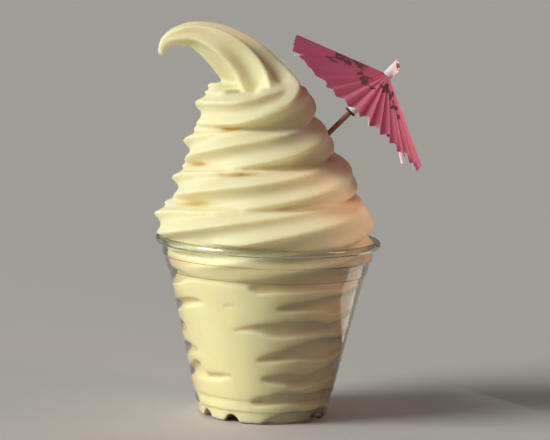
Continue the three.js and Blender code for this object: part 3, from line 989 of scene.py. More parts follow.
    def tail_path(self) -> np.ndarray:
        """Runs the rope on from the top turn's front up into the tail.

        Returns:
            Rows of x, y, z and the rope's half width and half height, closely spaced.
        """
        stations = []
        for turns in self.tail_turns:
            angle = (turns % 1.0) * FULL_TURN
            height = float(self.rope_height(turns, angle))
            radius = float(self.rope_radius(height))
            stations.append(
                (
                    float(self.axis_shift(height)) + radius * math.cos(angle),
                    radius * math.sin(angle),
                    height,
                    float(self.by_side(self.half_width, angle)),
                    float(self.by_side(self.lobe_height, angle)),
                )
            )
        stations += [(*station, station[3]) for station in self.tail_stations]
        line = np.array([stations[0], *stations, stations[-1]])
        spans = []
        for i in range(len(line) - 3):
            before, start, end, after = line[i : i + 4]
            share = np.linspace(0.0, 1.0, self.tail_samples, endpoint=False)[:, None]
            spans.append(
                0.5
                * (
                    2.0 * start
                    + (end - before) * share
                    + (2.0 * before - 5.0 * start + 4.0 * end - after) * share**2
                    + (3.0 * start - before - 3.0 * end + after) * share**3
                )
            )
        return np.concatenate([*spans, line[-1:]])

    def tail_skin(self) -> tuple[np.ndarray, Faces]:
        """Sweeps the star section along the tail's path.

        Returns:
            Corners and faces of rings across the path, closed at both ends.
        """
        path = self.tail_path()
        along = np.gradient(path[:, :3], axis=0)
        along /= np.linalg.norm(along, axis=1)[:, None]
        first, span, last = self.tail_bearing
        start = first * FULL_TURN
        out = np.array([math.cos(start), math.sin(start), 0.0])
        share = np.linspace(0.0, 1.0, len(path))
        step = np.arange(len(path))
        coiled = len(self.tail_turns) * self.tail_samples
        angle = np.minimum(first + span * step / (coiled - self.tail_samples), last) * FULL_TURN
        twisted = coiled + self.tail_twist_spans * self.tail_samples
        twist = self.tail_twist * smoothstep(step, coiled, twisted)
        loose = smoothstep(step, coiled - self.tail_samples, coiled + self.tail_samples)
        around = np.arange(self.tail_sides) / self.tail_sides * FULL_TURN
        peak = 1.0 - 2.0 * self.star_rounding
        whole_turns = math.floor(self.tail_turns[0])
        rings = []
        for i, (*_, half_width, half_height) in enumerate(path):
            out = out - along[i] * (out @ along[i])
            out /= np.linalg.norm(out)
            up = np.cross(out, along[i])
            up *= -1.0 if i == 0 and up[2] < 0 else 1.0
            phase = float(self.star_turn(whole_turns + angle[i] / FULL_TURN, angle[i]))
            wave = self.star(self.points * (around - twist[i]) + phase)
            loose_depth = mix(*self.tail_depth, share[i])
            depth = mix(float(self.ridge_depth(angle[i])), loose_depth, loose[i])
            ridged = 1.0 + depth * mix(wave, wave - peak, loose[i])
            inset = mix(self.tail_inset, 1.0, smoothstep(share[i], *self.tail_inset_end))
            side = inset * half_width * np.cos(around) * ridged
            rise = -inset * half_height * np.sin(around) * mix(1.0, ridged, loose[i])
            rings.append(path[i, :3] + np.outer(side, out) + np.outer(rise, up))
        return np.concatenate(rings), ring_faces(len(path), self.tail_sides)

    def build(self, material: Material) -> Object:
        """Joins the coil and the tail into one skin and presses it on the cup.

        Args:
            material: The finish.

        Returns:
            The soft serve.
        """
        coil, coil_faces = self.coil_skin()
        tail, tail_faces = self.tail_skin()
        faces = coil_faces + [tuple(c + len(coil) for c in face) for face in tail_faces]
        mesh = bpy.data.meshes.new("rope")
        mesh.from_pydata((np.concatenate([coil, tail]) * MM).tolist(), [], faces)
        work = bmesh.new()
        work.from_mesh(mesh)
        bmesh.ops.recalc_face_normals(work, faces=work.faces)
        work.to_mesh(mesh)
        work.free()
        piece = make_piece("soft_serve_swirl", mesh, material)
        remesh = piece.modifiers.new("one_skin", "REMESH")
        remesh.mode = "VOXEL"
        remesh.voxel_size = self.voxel * MM
        settled = piece.modifiers.new("settled", "SMOOTH")
        settled.factor = self.smooth_share
        settled.iterations = self.smooth_rounds
        settle(piece)
        self.press(piece.data)
        piece.data.transform(self.site.from_cup @ Matrix.Scale(1.0 / MM, 4))
        piece.data.shade_smooth()
        return piece

    def press(self, mesh: Mesh) -> None:
        """Presses the skin on the wall and the base, and stores painted shade where it lies deep in
        creases, pockets and air gaps.

        Args:
            mesh: The skin, in metres about the cup's axis.
        """
        points = np.empty(len(mesh.vertices) * 3)
        mesh.vertices.foreach_get("co", points)
        points = points.reshape(-1, 3) / MM
        radius = np.hypot(points[:, 0], points[:, 1])
        angle = np.arctan2(points[:, 1], points[:, 0]) % FULL_TURN
        limit = self.limit(points[:, 2])
        shrink = np.minimum(1.0, limit / np.maximum(radius, TINY))
        points[:, :2] *= shrink[:, None]
        radius *= shrink
        foot = self.cup.foot_radius - self.cup.foot_width
        in_ring = smoothstep(radius, foot - self.foot_slope[0], foot + self.foot_slope[1])
        lifted = self.cup.arch_rise * self.cup.arch(angle)
        base = mix(self.cup.panel_height + self.panel_clear, self.foot_clear + lifted, in_ring)
        points[:, 2] = np.maximum(points[:, 2], np.minimum(base, self.cup.foot_height))
        mesh.vertices.foreach_set("co", (points * MM).ravel())
        shift = self.axis_shift(points[:, 2])
        about = np.hypot(points[:, 0] - shift, points[:, 1])
        crest = self.rope_radius(points[:, 2]) + self.crest_share * self.half_width[1]
        # Painted shade: a share of deeper yellow in the coil's creases, in the air gaps on the cup wall and
        # in the pockets.
        start, span = self.crease_depth
        lowest, highest = self.crease_heights
        in_coil = np.clip((crest - about - start) / span, 0.0, self.crease_shade_most) * (points[:, 2] < highest)
        gap_start, gap_span = self.gap_shade_depth
        in_cup = mix(*self.cup_shade, np.clip((limit - radius - gap_start) / gap_span, 0.0, 1.0))
        deep = np.where(points[:, 2] > lowest, in_coil, in_cup)
        bearing = np.arctan2(points[:, 1], points[:, 0] - shift) % FULL_TURN
        pocket_shade = self.pocketed(bearing, points[:, 2]) / self.pocket_size[2]
        painted_shade = mesh.attributes.new("painted_shade", "FLOAT", "POINT")
        tint = np.clip(np.maximum(deep, pocket_shade), 0.0, self.most_shade)
        painted_shade.data.foreach_set("value", tint.astype(np.float32))
        mesh.update()

    def dress(self) -> None:
        """Builds the soft serve in its finish and fixes it in place."""
        piece = self.build(SoftServe().build())
        finish_piece(piece, Slot.SOFT_SERVE, "soft_serve")


@dataclass
class Sprigs:
    """A wreath of plain leafy twigs with blossoms, printed on the paper and drawn on its flat disc."""

    # Each twig's bearing and radius on the disc, its heading and its length.
    twigs: tuple[tuple[float, float, float, float], ...] = (
        (206.0, 26.0, 35.0, 9.0),
        (196.0, 19.0, 10.0, 10.0),
        (222.0, 13.0, -60.0, 11.0),
        (262.0, 11.0, 20.0, 9.0),
        (306.0, 9.0, -50.0, 9.0),
        (20.0, 12.0, 130.0, 11.0),
        (75.0, 14.0, 160.0, 11.0),
        (130.0, 13.0, 215.0, 11.0),
    )
    seed: int = 4
    stem_width: float = 0.3
    leaf_size: Pair = (3.2, 0.8)
    petal_size: Pair = (1.35, 0.8)
    petals: int = 5
    dot_spacing: float = 0.2
    least_dots: int = 4
    stem_bend: float = 0.5
    leaf_places: Series = (0.12, 0.4, 0.68, 0.92)
    leaf_turn: Pair = (0.6, 1.1)
    leaf_tip: float = 0.1
    leaf_bend: float = 0.4
    stalk_length: Pair = (0.5, 1.4)
    stalk_bend: float = 0.3
    blossom_place: float = 0.6
    blossom_stray: float = 0.6
    ink_edge: Pair = (0.12, 0.16)
    ink_share: float = 0.85

    def line(self, start: np.ndarray, bearing: float, length: float, bend: float) -> np.ndarray:
        """Runs a bent line over the disc.

        Args:
            start: Where it starts.
            bearing: Its direction there.
            length: How long it is.
            bend: How far its direction turns along it.

        Returns:
            Closely spaced places along it.
        """
        share = np.linspace(0.0, 1.0, max(int(length / self.dot_spacing), self.least_dots))
        heading = bearing + bend * share
        steps = np.stack([np.cos(heading), np.sin(heading)], axis=1) * length / len(share)
        return start + np.cumsum(steps, axis=0)

    def strokes(self) -> tuple[np.ndarray, np.ndarray]:
        """Draws the twigs.

        Returns:
            Middles of small dots on the disc, and the dots' radii.
        """
        chance = np.random.default_rng(self.seed)
        dots: list[np.ndarray] = []

        def stroke(line: np.ndarray, widths: Numbers) -> None:
            """Adds a line of dots."""
            dots.append(np.column_stack([line, np.broadcast_to(widths, len(line))]))

        for bearing, radius, heading, length in self.twigs:
            angle = math.radians(bearing)
            start = radius * np.array([math.cos(angle), math.sin(angle)])
            heading = math.radians(heading)
            stem = self.line(start, heading, length, chance.uniform(-self.stem_bend, self.stem_bend))
            stroke(stem, self.stem_width)
            for number, share in enumerate(self.leaf_places):
                side = 1.0 if number % 2 else -1.0
                along = heading + side * chance.uniform(*self.leaf_turn)
                foot = stem[int(share * (len(stem) - 1))]
                stalk = self.line(foot, along, chance.uniform(*self.stalk_length), self.stalk_bend)
                stroke(stalk, self.stem_width)
                bend = self.leaf_bend * side
                leaf = self.line(stalk[-1], along + self.stalk_bend, self.leaf_size[0], bend)
                swell = np.sin(np.linspace(self.leaf_tip, math.pi, len(leaf)))
                stroke(leaf, self.leaf_tip + self.leaf_size[1] * swell)
            stray = chance.uniform(-self.blossom_stray, self.blossom_stray, 2)
            middle = stem[int(self.blossom_place * len(stem))] + stray
            spread = np.arange(self.petals) / self.petals * FULL_TURN + chance.random()
            petals = middle + self.petal_size[0] * np.stack([np.cos(spread), np.sin(spread)], axis=1)
            stroke(petals, self.petal_size[1])
        marks = np.concatenate(dots)
        return marks[:, :2], marks[:, 2]

    def mark(self, mesh: Mesh, to_disc: Matrix) -> None:
        """Stores how much ink lies at each corner of the paper.

        Args:
            mesh: The paper.
            to_disc: Takes its corners into millimetres about the parasol's apex.
        """
        middles, radii = self.strokes()
        places = np.array([(to_disc @ corner.co)[:2] for corner in mesh.vertices])
        ink = np.zeros(len(places))
        for middle, radius in zip(middles, radii):
            apart = np.hypot(*(places - middle).T)
            dry = smoothstep(apart, radius - self.ink_edge[0], radius + self.ink_edge[1])
            ink = np.maximum(ink, 1.0 - dry)
        printed = mesh.attributes.new("print", "FLOAT", "POINT")
        printed.data.foreach_set("value", (self.ink_share * ink).astype(np.float32))


@dataclass
class NodeShape:
    """A geometry node tree with named sizes, baked into a plain mesh."""

    name: str
    sizes: dict[str, float | int] = field(default_factory=dict)

    def start(self) -> tuple[NodeTree, Node]:
        """Starts the tree.

        Returns:
            The tree, and its input node with a socket for each size.
        """
        tree = bpy.data.node_groups.new(self.name, "GeometryNodeTree")
        tree.interface.new_socket("Geometry", in_out="OUTPUT", socket_type="NodeSocketGeometry")
        for label, value in self.sizes.items():
            kind = "NodeSocketInt" if isinstance(value, int) else "NodeSocketFloat"
            tree.interface.new_socket(label, in_out="INPUT", socket_type=kind)
        return tree, add_node(tree, "NodeGroupInput")

    def bake(self, tree: NodeTree, last: Node, material: Material, place: Matrix) -> Object:
        """Ends the tree, runs it with its sizes and keeps the result.

        Args:
            tree: The tree.
            last: The node that gives the whole shape.
            material: The finish, which the tree sets too.
            place: Takes the tree's millimetres into the frame.

        Returns:
            A piece with a plain mesh.
        """
        real = add_node(tree, "GeometryNodeRealizeInstances", {"Geometry": last})
        worn = add_node(tree, "GeometryNodeSetMaterial", {"Geometry": real, "Material": material})
        add_node(tree, "NodeGroupOutput", (worn,))
        piece = make_piece(self.name, bpy.data.meshes.new(self.name), material)
        modifier = piece.modifiers.new(self.name, "NODES")
        modifier.node_group = tree
        for item in tree.interface.items_tree:
            if item.in_out == "INPUT":
                modifier[item.identifier] = self.sizes[item.name]
        settle(piece)
        piece.data.transform(place)
        return piece


@dataclass
class Parasol:
    """A pleated paper cone on ten ribs and struts, on a wooden pick."""

    site: Site
    radius: float = 36.0
    hole: float = 1.5
    slope: float = 0.53
    billow: float = 0.8
    left_panel: int = 4
    left_billow: float = 4.2
    left_reach: Pair = (-2.5, 3.2)
    long_rim: float = 3.3
    long_rim_bearing: float = math.radians(240.0)
    rib_notch: float = 3.4
    notch_band: Pair = (0.72, 0.84)
    notch_width: float = 0.5
    left_reach_share: float = 0.7
    long_rim_band: Pair = (0.75, 1.0)
    paper: float = 0.16
    paper_rings: int = 92
    seam: float = 0.001
    seed: int = 7
    ribs: int = 10
    first_rib: float = math.radians(29.0)
    pleats: int = 40
    pleat_depth: float = 2.5
    pleat_columns: int = 10
    pleat_chance: Pair = (0.65, 1.15)
    crisp_band: Pair = (-0.8, 0.15)
    crisp_range: Pair = (0.16, 1.0)
    rib_size: Pair = (1.8, 0.5)
    rib_start: float = 3.7
    rib_end: float = 34.6
    diagonal_rib_end: float = 37.7
    rib_droop: float = 0.3
    rib_gap: float = 0.25
    diagonal_share: float = 0.4
    strip_corners: tuple[int, int] = (12, 3)
    strip_trim: Pair = (0.38, 0.5)
    strip_tip: float = 0.4
    strip_bevel: float = 0.12
    strip_bevel_steps: int = 2
    strut_size: Pair = (1.4, 0.5)
    strut_start: Pair = (2.65, -17.3)
    strut_end: float = 16.5
    strut_gap: float = 0.2
    pick_radius: float = 1.05
    pick_ends: Pair = (-73.0, 6.1)
    pick_point: float = 6.0
    # The point's end radius, the radius of its blunt part and the height of that.
    pick_tip: Triple = (0.05, 0.3, 1.2)
    pick_shoulder: Pair = (0.8, 0.75)
    pick_top: Pair = (0.4, 0.08)
    pick_straight: float = 2.0
    pick_rows: int = 24
    pick_sides: int = 32
    pick_knobs: Waves = ((0.02, 3.0, 0.2, 0.0),)
    # Outer radius, bottom and top of what sits round the pick.
    finial: Triple = (2.2, -0.7, 6.4)
    hub: Triple = (3.2, -5.4, -2.6)
    collar: Triple = (2.2, -21.0, -16.0)
    retainer: Triple = (2.4, -21.9, -21.05)
    sleeve_bore: float = 1.1
    sleeve_sides: int = 48
    sleeve_eases: Triple = (0.4, 0.35, 0.3)
    ease_points: int = 6
    roll_turns: float = 3.3
    roll_steps: int = 150
    roll_paper: float = 0.3
    roll_fill: float = 0.96
    roll_drop: float = 1.2
    roll_slant: Pair = (1.3, math.radians(330.0))
    roll_wave: Triple = (0.15, 0.5, 0.8)

    def canopy(self) -> Object:
        """Folds the paper cone.

        Returns:
            The canopy, with its print.
        """
        shape = NodeShape(
            "parasol_paper",
            {
                "Radius": self.radius,
                "Hole": self.hole,
                "Slope": self.slope,
                "Billow": self.billow,
                "Left Panel": self.left_panel,
                "Left Billow": self.left_billow,
                "Left Reach Back": self.left_reach[0],
                "Left Reach Front": self.left_reach[1],
                "Long Rim": self.long_rim,
                "Long Rim Bearing": self.long_rim_bearing,
                "Rib Notch": self.rib_notch,
                "Depth": self.pleat_depth,
                "First Rib": self.first_rib,
                "Ribs": self.ribs,
                "Pleats": self.pleats,
                "Columns": self.pleats * self.pleat_columns + 1,
                "Rings": self.paper_rings,
                "Seed": self.seed,
            },
        )
        material = PrintedTissue().build()
        tree, given = shape.start()
        size = given.outputs
        node = partial(add_node, tree)
        sheet = node("GeometryNodeMeshGrid", {"Vertices X": size["Columns"], "Vertices Y": size["Rings"]})
        # The sheet starts as a unit square about its middle, and X goes round the cone and Y outwards.
        flat = node("ShaderNodeSeparateXYZ", (node("GeometryNodeInputPosition"),)).outputs
        around = node(MATH, (flat[0], 0.5), operation="ADD")
        outwards = node(MATH, (flat[1], 0.5), operation="ADD")
        angle = node(MATH, (around, FULL_TURN, size["First Rib"]), operation="MULTIPLY_ADD")
        cosine = node(MATH, (angle,), operation="COSINE")
        sine = node(MATH, (angle,), operation="SINE")
        panel = node(MATH, (around, size["Ribs"]), operation="MULTIPLY")
        bow = node(MATH, (panel, math.pi), operation="MULTIPLY")
        bowed = node(MATH, (bow,), operation="SINE")
        arch = node(MATH, (bowed,), operation="ABSOLUTE")
        panel_number = node(MATH, (panel,), operation="FLOOR")
        left = node(MATH, (panel_number, size["Left Panel"], 0.5), operation="COMPARE")
        elsewhere = node(MATH, (1.0, left), operation="SUBTRACT")
        # The paper is cut back over the ribs nearest the diagonals, so that their ends show, but not on
        # the left-hand panel, which reaches out along its front rib.
        double_angle = node(MATH, (angle, 2.0), operation="MULTIPLY")
        double_sine = node(MATH, (double_angle,), operation="SINE")
        diagonal = node(MATH, (double_sine,), operation="ABSOLUTE")
        bare = node(MAP_RANGE, (diagonal, *self.notch_band, 0.0, size["Rib Notch"]), **EASED)
        over_rib = node(MAP_RANGE, (arch, 0.0, self.notch_width, 1.0, 0.0), **EASED)
        cut_back = node(MATH, (bare, over_rib), operation="MULTIPLY")
        notch = node(MATH, (cut_back, elsewhere), operation="MULTIPLY")
        across = node(MATH, (panel,), operation="FRACT")
        reaches = (size["Left Reach Back"], size["Left Reach Front"])
        leftwards = node(MAP_RANGE, (across, 0.0, self.left_reach_share, *reaches), **EASED)
        from_long = node(MATH, (angle, size["Long Rim Bearing"]), operation="SUBTRACT")
        near_long = node(MATH, (from_long,), operation="COSINE")
        hanging = node(MAP_RANGE, (near_long, *self.long_rim_band, 0.0, size["Long Rim"]), **EASED)
        longer = node(MATH, (hanging, elsewhere, size["Radius"]), operation="MULTIPLY_ADD")
        whole = node(MATH, (leftwards, left, longer), operation="MULTIPLY_ADD")
        rim = node(MATH, (whole, notch), operation="SUBTRACT")
        span = node(MATH, (rim, size["Hole"]), operation="SUBTRACT")
        radius = node(MATH, (outwards, span, size["Hole"]), operation="MULTIPLY_ADD")
        fold = node(MATH, (around, size["Pleats"]), operation="MULTIPLY")
        folded = node(MATH, (fold, 0.5), operation="PINGPONG")
        zigzag = node(MATH, (folded, 2.0), operation="MULTIPLY")
        number = node(MATH, (fold,), operation="FLOOR")
        least, most = self.pleat_chance
        chance = {2: least, 3: most, "ID": number, "Seed": size["Seed"]}
        uneven = node("FunctionNodeRandomValue", chance, data_type="FLOAT").outputs[1]
        # The pleats stand deep on the lower right and are pulled almost flat on the upper left.
        crisp = node(MAP_RANGE, (cosine, *self.crisp_band, *self.crisp_range), **EASED)
        depth = node(MATH, (crisp, size["Depth"]), operation="MULTIPLY")
        ragged = node(MATH, (depth, uneven), operation="MULTIPLY")
        zigged = node(MATH, (ragged, zigzag), operation="MULTIPLY")
        full = node(MATH, (left, size["Left Billow"], size["Billow"]), operation="MULTIPLY_ADD")
        relief = node(MATH, (arch, full, zigged), operation="MULTIPLY_ADD")
        share = node(MATH, (radius, size["Radius"]), operation="DIVIDE")
        raised = node(MATH, (relief, share), operation="MULTIPLY")
        fall = node(MATH, (radius, size["Slope"]), operation="MULTIPLY")
        height = node(MATH, (raised, fall), operation="SUBTRACT")
        x = node(MATH, (radius, cosine), operation="MULTIPLY")
        y = node(MATH, (radius, sine), operation="MULTIPLY")
        # Painted light: the pleat crests, higher where the pleats are deep, are stored for the paper to
        # draw paler.
        lit_fold = node(MATH, (crisp, zigzag), operation="MULTIPLY")
        mark = {"Geometry": sheet, "Name": "fold", "Value": lit_fold}
        marked = node("GeometryNodeStoreNamedAttribute", mark, data_type="FLOAT", domain="POINT")
        place = node(VECTOR, (x, y, height))
        cone = node("GeometryNodeSetPosition", {"Geometry": marked, "Position": place})
        closed = node("GeometryNodeMergeByDistance", {"Geometry": cone, "Distance": self.seam})
        piece = shape.bake(tree, closed, material, self.site.from_parasol)
        thick = piece.modifiers.new("paper", "SOLIDIFY")
        thick.thickness = self.paper * MM
        thick.offset = 0.0
        settle(piece)
        Sprigs().mark(piece.data, self.site.from_parasol.inverted())
        return piece

    def rib_height(self, radius: float) -> float:
        """The height of a rib's upper face, just under the paper's inner folds."""
        return -self.slope * radius - self.rib_droop * radius / self.radius - self.rib_gap

    def spokes(
        self,
        name: str,
        start: Pair,
        end: Pair,
        size: Pair,
        stretch: float,
        material: Material,
    ) -> Object:
        """Sets flat strips round the pick, one under each rib line.

        Args:
            name: The piece's name.
            start: Radius and height of the strips' inner ends.
            end: Radius and height of their outer ends.
            size: Their width and thickness.
            stretch: How many times as far the front strips nearest the diagonals reach.
            material: The finish.

        Returns:
            All the strips as one piece.
        """
        shape = NodeShape(
            name,
            {
                "Count": self.ribs,
                "First": self.first_rib,
                "Length": math.dist(start, end),
                "Width": size[0],
                "Thickness": size[1],
                "Pitch": -math.atan2(end[1] - start[1], end[0] - start[0]),
                "Start Radius": start[0],
                "Start Height": start[1],
                "Diagonal Stretch": stretch,
            },
        )
        tree, given = shape.start()
        size_of = given.outputs
        node = partial(add_node, tree)
        box = node(VECTOR, (size_of["Length"], size_of["Width"], size_of["Thickness"]))
        columns, rows = self.strip_corners
        strip = node("GeometryNodeMeshCube", {"Size": box, "Vertices X": columns, "Vertices Y": rows})
        # The outer end is trimmed to a narrower tip.
        x, y, z = node("ShaderNodeSeparateXYZ", (node("GeometryNodeInputPosition"),)).outputs
        along = node(MATH, (x, size_of["Length"]), operation="DIVIDE")
        narrow = node(MAP_RANGE, (along, *self.strip_trim, 1.0, self.strip_tip))
        width = node(MATH, (y, narrow), operation="MULTIPLY")
        trimmed = node(VECTOR, (x, width, z))
        cut = node("GeometryNodeSetPosition", {"Geometry": strip, "Position": trimmed})
        half = node(MATH, (size_of["Length"], 0.5), operation="MULTIPLY")
        under = node(MATH, (size_of["Thickness"], -0.5), operation="MULTIPLY")
        from_end = node(VECTOR, (half, 0.0, under))
        moved = node("GeometryNodeTransform", {"Geometry": cut, "Translation": from_end})
        pitch = node(VECTOR, (0.0, size_of["Pitch"], 0.0))
        foot = node(VECTOR, (size_of["Start Radius"], 0.0, size_of["Start Height"]))
        leaning = node("GeometryNodeTransform", {"Geometry": moved, "Translation": foot, "Rotation": pitch})
        hub = node("GeometryNodeMeshLine", {"Count": size_of["Count"], "Offset": (0.0, 0.0, 0.0)})
        number = node("GeometryNodeInputIndex")
        step = node(MATH, (FULL_TURN, size_of["Count"]), operation="DIVIDE")
        bearing = node(MATH, (number, step, size_of["First"]), operation="MULTIPLY_ADD")
        turn = node(VECTOR, (0.0, 0.0, bearing))
        sideways = node(MATH, (bearing,), operation="COSINE")
        to_side = node(MATH, (sideways,), operation="ABSOLUTE")
        backwards = node(MATH, (bearing,), operation="SINE")
        diagonal = node(MATH, (to_side, backwards), operation="MULTIPLY")
        long = node(MATH, (diagonal, -self.diagonal_share), operation="LESS_THAN")
        reach = node(MAP_RANGE, (long, 0.0, 1.0, 1.0, size_of["Diagonal Stretch"]))
        scale = node(VECTOR, (reach, 1.0, reach))
        copies = {"Points": hub, "Instance": leaning, "Rotation": turn, "Scale": scale}
        spread = node("GeometryNodeInstanceOnPoints", copies)
        piece = shape.bake(tree, spread, material, self.site.from_parasol)
        eased = piece.modifiers.new("eased_edges", "BEVEL")
        eased.width = self.strip_bevel * MM
        eased.segments = self.strip_bevel_steps
        eased.limit_method = "ANGLE"
        settle(piece)
        return piece

    def turned(self, outline: list[Pair], sides: int, ring: bool, knobs: Waves = ()) -> Mesh:
        """Turns an outline of radius and height round the pick's axis.

        Args:
            outline: The section's corners in order, off the axis.
            sides: How many slices to make.
            ring: Whether the outline is closed, instead of being capped at both ends.
            knobs: Waves by which the surface wanders in and out, as shares of its radius.

        Returns:
            The mesh, in place.
        """
        angle = np.arange(sides) / sides * FULL_TURN
        rings = []
        for radius, z in outline:
            knobbly = radius * (1.0 + ripple(knobs, angle, z))
            x = knobbly * np.cos(angle)
            y = knobbly * np.sin(angle)
            rings.append(np.stack([x, y, np.full(sides, z)], axis=1))
        faces = ring_faces(len(outline), sides, closed=ring)
        return solid_mesh(np.concatenate(rings), faces, self.site.from_parasol)

    def sleeve(self, size: Triple, ease: float) -> Mesh:
        """Makes a sleeve round the pick with eased rims.

        Args:
            size: Outer radius, bottom and top.
            ease: How far the outer rims are rounded.

        Returns:
            The sleeve's mesh.
        """
        radius, bottom, top = size
        bore = self.sleeve_bore
        arc = np.linspace(0.0, math.pi / 2, self.ease_points)
        low = [(radius - ease + ease * math.sin(a), bottom + ease - ease * math.cos(a)) for a in arc]
        high = [(radius - ease + ease * math.cos(a), top - ease + ease * math.sin(a)) for a in arc]
        return self.turned([(bore, bottom), *low, *high, (bore, top)], self.sleeve_sides, ring=True)

    def roll(self) -> Mesh:
        """Rolls a paper strip round the pick's top.

        Returns:
            A spiral strip whose loose end shows on the outside.
        """
        radius, bottom, top = self.finial
        paper = self.roll_paper
        steps = self.roll_steps
        angle = np.linspace(0.0, self.roll_turns * FULL_TURN, steps)
        middle = np.linspace(self.sleeve_bore + paper / 2, radius - paper / 2, steps)
        wave, rate, phase = self.roll_wave
        slant, lowest = self.roll_slant
        edge = wave * np.sin(angle * rate + phase) - slant * np.cos(angle - lowest)
        rings = []
        for reach, raised in ((-0.5, False), (0.5, False), (0.5, True), (-0.5, True)):
            r = middle + reach * paper * self.roll_fill
            z = top - self.roll_drop + edge if raised else np.full(steps, bottom)
            rings.append(np.stack([r * np.cos(angle), r * np.sin(angle), z], axis=1))
        points = np.stack(rings, axis=1).reshape(-1, 3)
        return solid_mesh(points, ring_faces(steps, 4), self.site.from_parasol)

    def pick(self) -> Mesh:
        """Turns the pick.

        Returns:
            A stick with a sharpened point and a rounded top.
        """
        bottom, top = self.pick_ends
        r = self.pick_radius
        end, blunt, blunt_height = self.pick_tip
        shoulder, shoulder_height = self.pick_shoulder
        low = bottom + self.pick_point + self.pick_straight
        straight = np.linspace(low, top - self.pick_top[0], self.pick_rows)
        outline = [
            (end, bottom),
            (blunt, bottom + blunt_height),
            (shoulder * r, bottom + shoulder_height * self.pick_point),
            (r, bottom + self.pick_point),
            *((r, z) for z in straight),
            (shoulder * r, top - self.pick_top[1]),
            (end, top),
        ]
        return self.turned(outline, self.pick_sides, ring=False, knobs=self.pick_knobs)

    def dress(self) -> None:
        """Builds the parasol's pieces in their finishes and fixes them in place."""
        card = WhiteCard().build()
        numbers = range(1, self.ribs + 1)
        finish_piece(self.canopy(), Slot.PINK_PAPER, "parasol_canopy")
        ribs = self.spokes(
            "parasol_card_ribs",
            (self.rib_start, self.rib_height(self.rib_start)),
            (self.rib_end, self.rib_height(self.rib_end)),
            self.rib_size,
            self.diagonal_rib_end / self.rib_end,
            card,
        )
        finish_piece(ribs, Slot.WHITE_CARD, *(f"parasol_rib_{n}" for n in numbers))
        struts = self.spokes(
            "parasol_card_struts",
            self.strut_start,
            (self.strut_end, self.rib_height(self.strut_end) - self.rib_size[1] - self.strut_gap),
            self.strut_size,
            1.0,
            card,
        )
        finish_piece(struts, Slot.WHITE_CARD, *(f"parasol_strut_{n}" for n in numbers))
        sleeves = (self.hub, self.collar, self.retainer)
        hub, collar, retainer = (self.sleeve(*sizes) for sizes in zip(sleeves, self.sleeve_eases))
        rubber = BlackRubber().build()
        bamboo = BambooWood().build()
        for name, mesh, finish, slot, node in (
            ("parasol_rolled_finial", self.roll(), card, Slot.WHITE_CARD, "parasol_finial"),
            ("parasol_rib_hub", hub, card, Slot.WHITE_CARD, "parasol_hub"),
            ("parasol_strut_collar", collar, card, Slot.WHITE_CARD, "parasol_collar"),
            ("parasol_retainer_ring", retainer, rubber, Slot.RETAINER_RUBBER, "parasol_retainer"),
            ("parasol_bamboo_pick", self.pick(), bamboo, Slot.BAMBOO, "parasol_pick"),
        ):
            finish_piece(make_piece(name, mesh, finish), slot, node)


def hang(lamp: Light, place: Vector, towards: Vector) -> Object:
    """Hangs a lamp.

    Args:
        lamp: The light itself.
        place: Where it hangs, in the frame.
        towards: The direction in which it shines.

    Returns:
        The object that holds it.
    """
    holder = bpy.data.objects.new(lamp.name, lamp)
    holder.location = place
    holder.rotation_euler = towards.to_track_quat("-Z", "Y").to_euler()
    bpy.context.scene.collection.objects.link(holder)
    return holder


@dataclass(frozen=True)
class SoftLight:
    """One far, broad light of the studio, which shines evenly over the floor."""

    name: str
    towards: Triple
    strength: float
    spread: float
    colour: str

    def build(self) -> None:
        """Hangs the light on the side that it shines from."""
        lamp = bpy.data.lights.new(self.name, "SUN")
        lamp.angle = self.spread
        lamp.energy = self.strength
        lamp.color = linear(self.colour)[:3]
        hang(lamp, -Vector(self.towards), Vector(self.towards))


@dataclass(frozen=True)
class NearLight:
    """A small soft lamp close by, whose light fades across the dessert."""

    name: str
    place: Triple
    target: Triple
    size: float
    spread: float
    power: float
    colour: str
    shine_only: bool = False

    def build(self, site: Site) -> None:
        """Hangs the lamp, turned to its target.

        Args:
            site: Takes its place and its target from millimetres about the cup into the frame.
        """
        lamp = bpy.data.lights.new(self.name, "AREA")
        lamp.shape = "DISK"
        lamp.size = self.size * MM
        lamp.spread = self.spread
        lamp.energy = self.power
        lamp.color = linear(self.colour)[:3]
        place = site.from_cup @ Vector(self.place)
        holder = hang(lamp, place, site.from_cup @ Vector(self.target) - place)
        holder.visible_camera = False
        holder.visible_diffuse = not self.shine_only


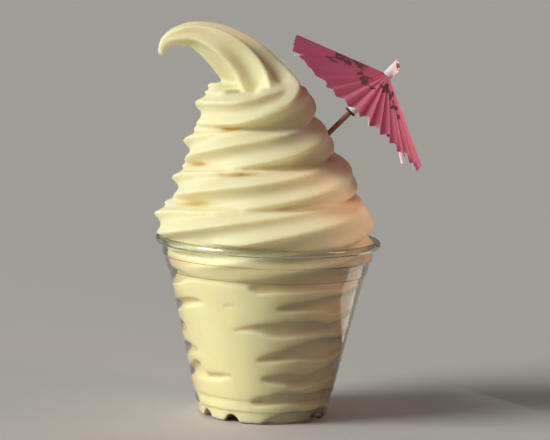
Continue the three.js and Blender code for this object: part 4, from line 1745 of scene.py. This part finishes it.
@dataclass
class Studio:
    """A pale floor, soft light and the camera at the photograph's viewing angle."""

    site: Site
    camera_place: Triple = (2.48, -929.5, 185.4)
    camera_pitch: float = math.radians(6.48)
    camera_roll: float = math.radians(2.05)
    focal_pixels: float = 2296.0
    sensor_mm: float = 36.0
    floor_half_m: float = 15.0
    lights: tuple[SoftLight, ...] = (
        SoftLight(
            "key_left",
            towards=(0.80, 0.37, -0.47),
            strength=2.8,
            spread=math.radians(28.0),
            colour="#FFFFFF",
        ),
    )
    lamps: tuple[NearLight, ...] = (
        NearLight(
            "glow_right",
            place=(165.0, -45.0, 178.0),
            target=(35.0, 0.0, 130.0),
            size=70.0,
            spread=math.radians(75.0),
            power=0.036,
            colour="#FFC4BA",
        ),
        NearLight(
            "shine_right",
            place=(108.0, 48.0, 4.0),
            target=(70.0, 22.0, 60.0),
            size=76.0,
            spread=math.pi,
            power=0.014,
            colour="#FFF6EA",
            shine_only=True,
        ),
    )
    air: str = "#C8C4BC"
    air_strength: Pair = (0.56, 0.14)

    def floor(self) -> None:
        """Lays the floor out to well past the camera."""
        mesh = bpy.data.meshes.new("studio_floor")
        half = self.floor_half_m
        corners = [(-half, -half, 0.0), (half, -half, 0.0), (half, half, 0.0), (-half, half, 0.0)]
        mesh.from_pydata(corners, [], [(0, 1, 2, 3)])
        make_piece("studio_floor", mesh, PaleFloor().build())

    def camera(self) -> None:
        """Sets the camera up as the photograph was taken."""
        lens = bpy.data.cameras.new("photo_camera")
        lens.sensor_fit = "HORIZONTAL"
        lens.sensor_width = self.sensor_mm
        lens.lens = self.focal_pixels / IMAGE_WIDTH * lens.sensor_width
        camera = bpy.data.objects.new("photo_camera", lens)
        level = Matrix.Rotation(math.pi / 2 - self.camera_pitch, 4, "X")
        roll = Matrix.Rotation(self.camera_roll, 4, "Z")
        spot = self.site.from_cup @ Vector(self.camera_place)
        camera.matrix_world = Matrix.Translation(spot) @ level @ roll
        bpy.context.scene.collection.objects.link(camera)
        bpy.context.scene.camera = camera

    def build(self) -> None:
        """Sets up floor, air, lights and camera."""
        self.floor()
        self.camera()
        for light in self.lights:
            light.build()
        for lamp in self.lamps:
            lamp.build(self.site)
        world = bpy.data.worlds.new("studio_air")
        world.use_nodes = True
        tree = world.node_tree
        air = tree.nodes["Background"]
        air.inputs["Color"].default_value = linear(self.air)
        # The air is lighter on the left than on the right.
        outlook = add_node(tree, "ShaderNodeTexCoord").outputs["Generated"]
        side = add_node(tree, "ShaderNodeSeparateXYZ", (outlook,))
        strength = add_node(tree, MAP_RANGE, (side, -1.0, 1.0, *self.air_strength))
        tree.links.new(strength.outputs[0], air.inputs["Strength"])
        bpy.context.scene.world = world
        bpy.context.scene.view_settings.view_transform = "Standard"


def main() -> None:
    """Builds every piece in order."""
    logging.basicConfig(level=logging.INFO, format="%(name)s: %(message)s")
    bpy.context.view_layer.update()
    low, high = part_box("cup")
    site = Site(((low.x + high.x) / 2, (low.y + high.y) / 2))
    Studio(site).build()
    cup = Cup(site)
    cup.dress()
    Swirl(site, cup).dress()
    Parasol(site).dress()


if __name__ == "__main__":
    main()
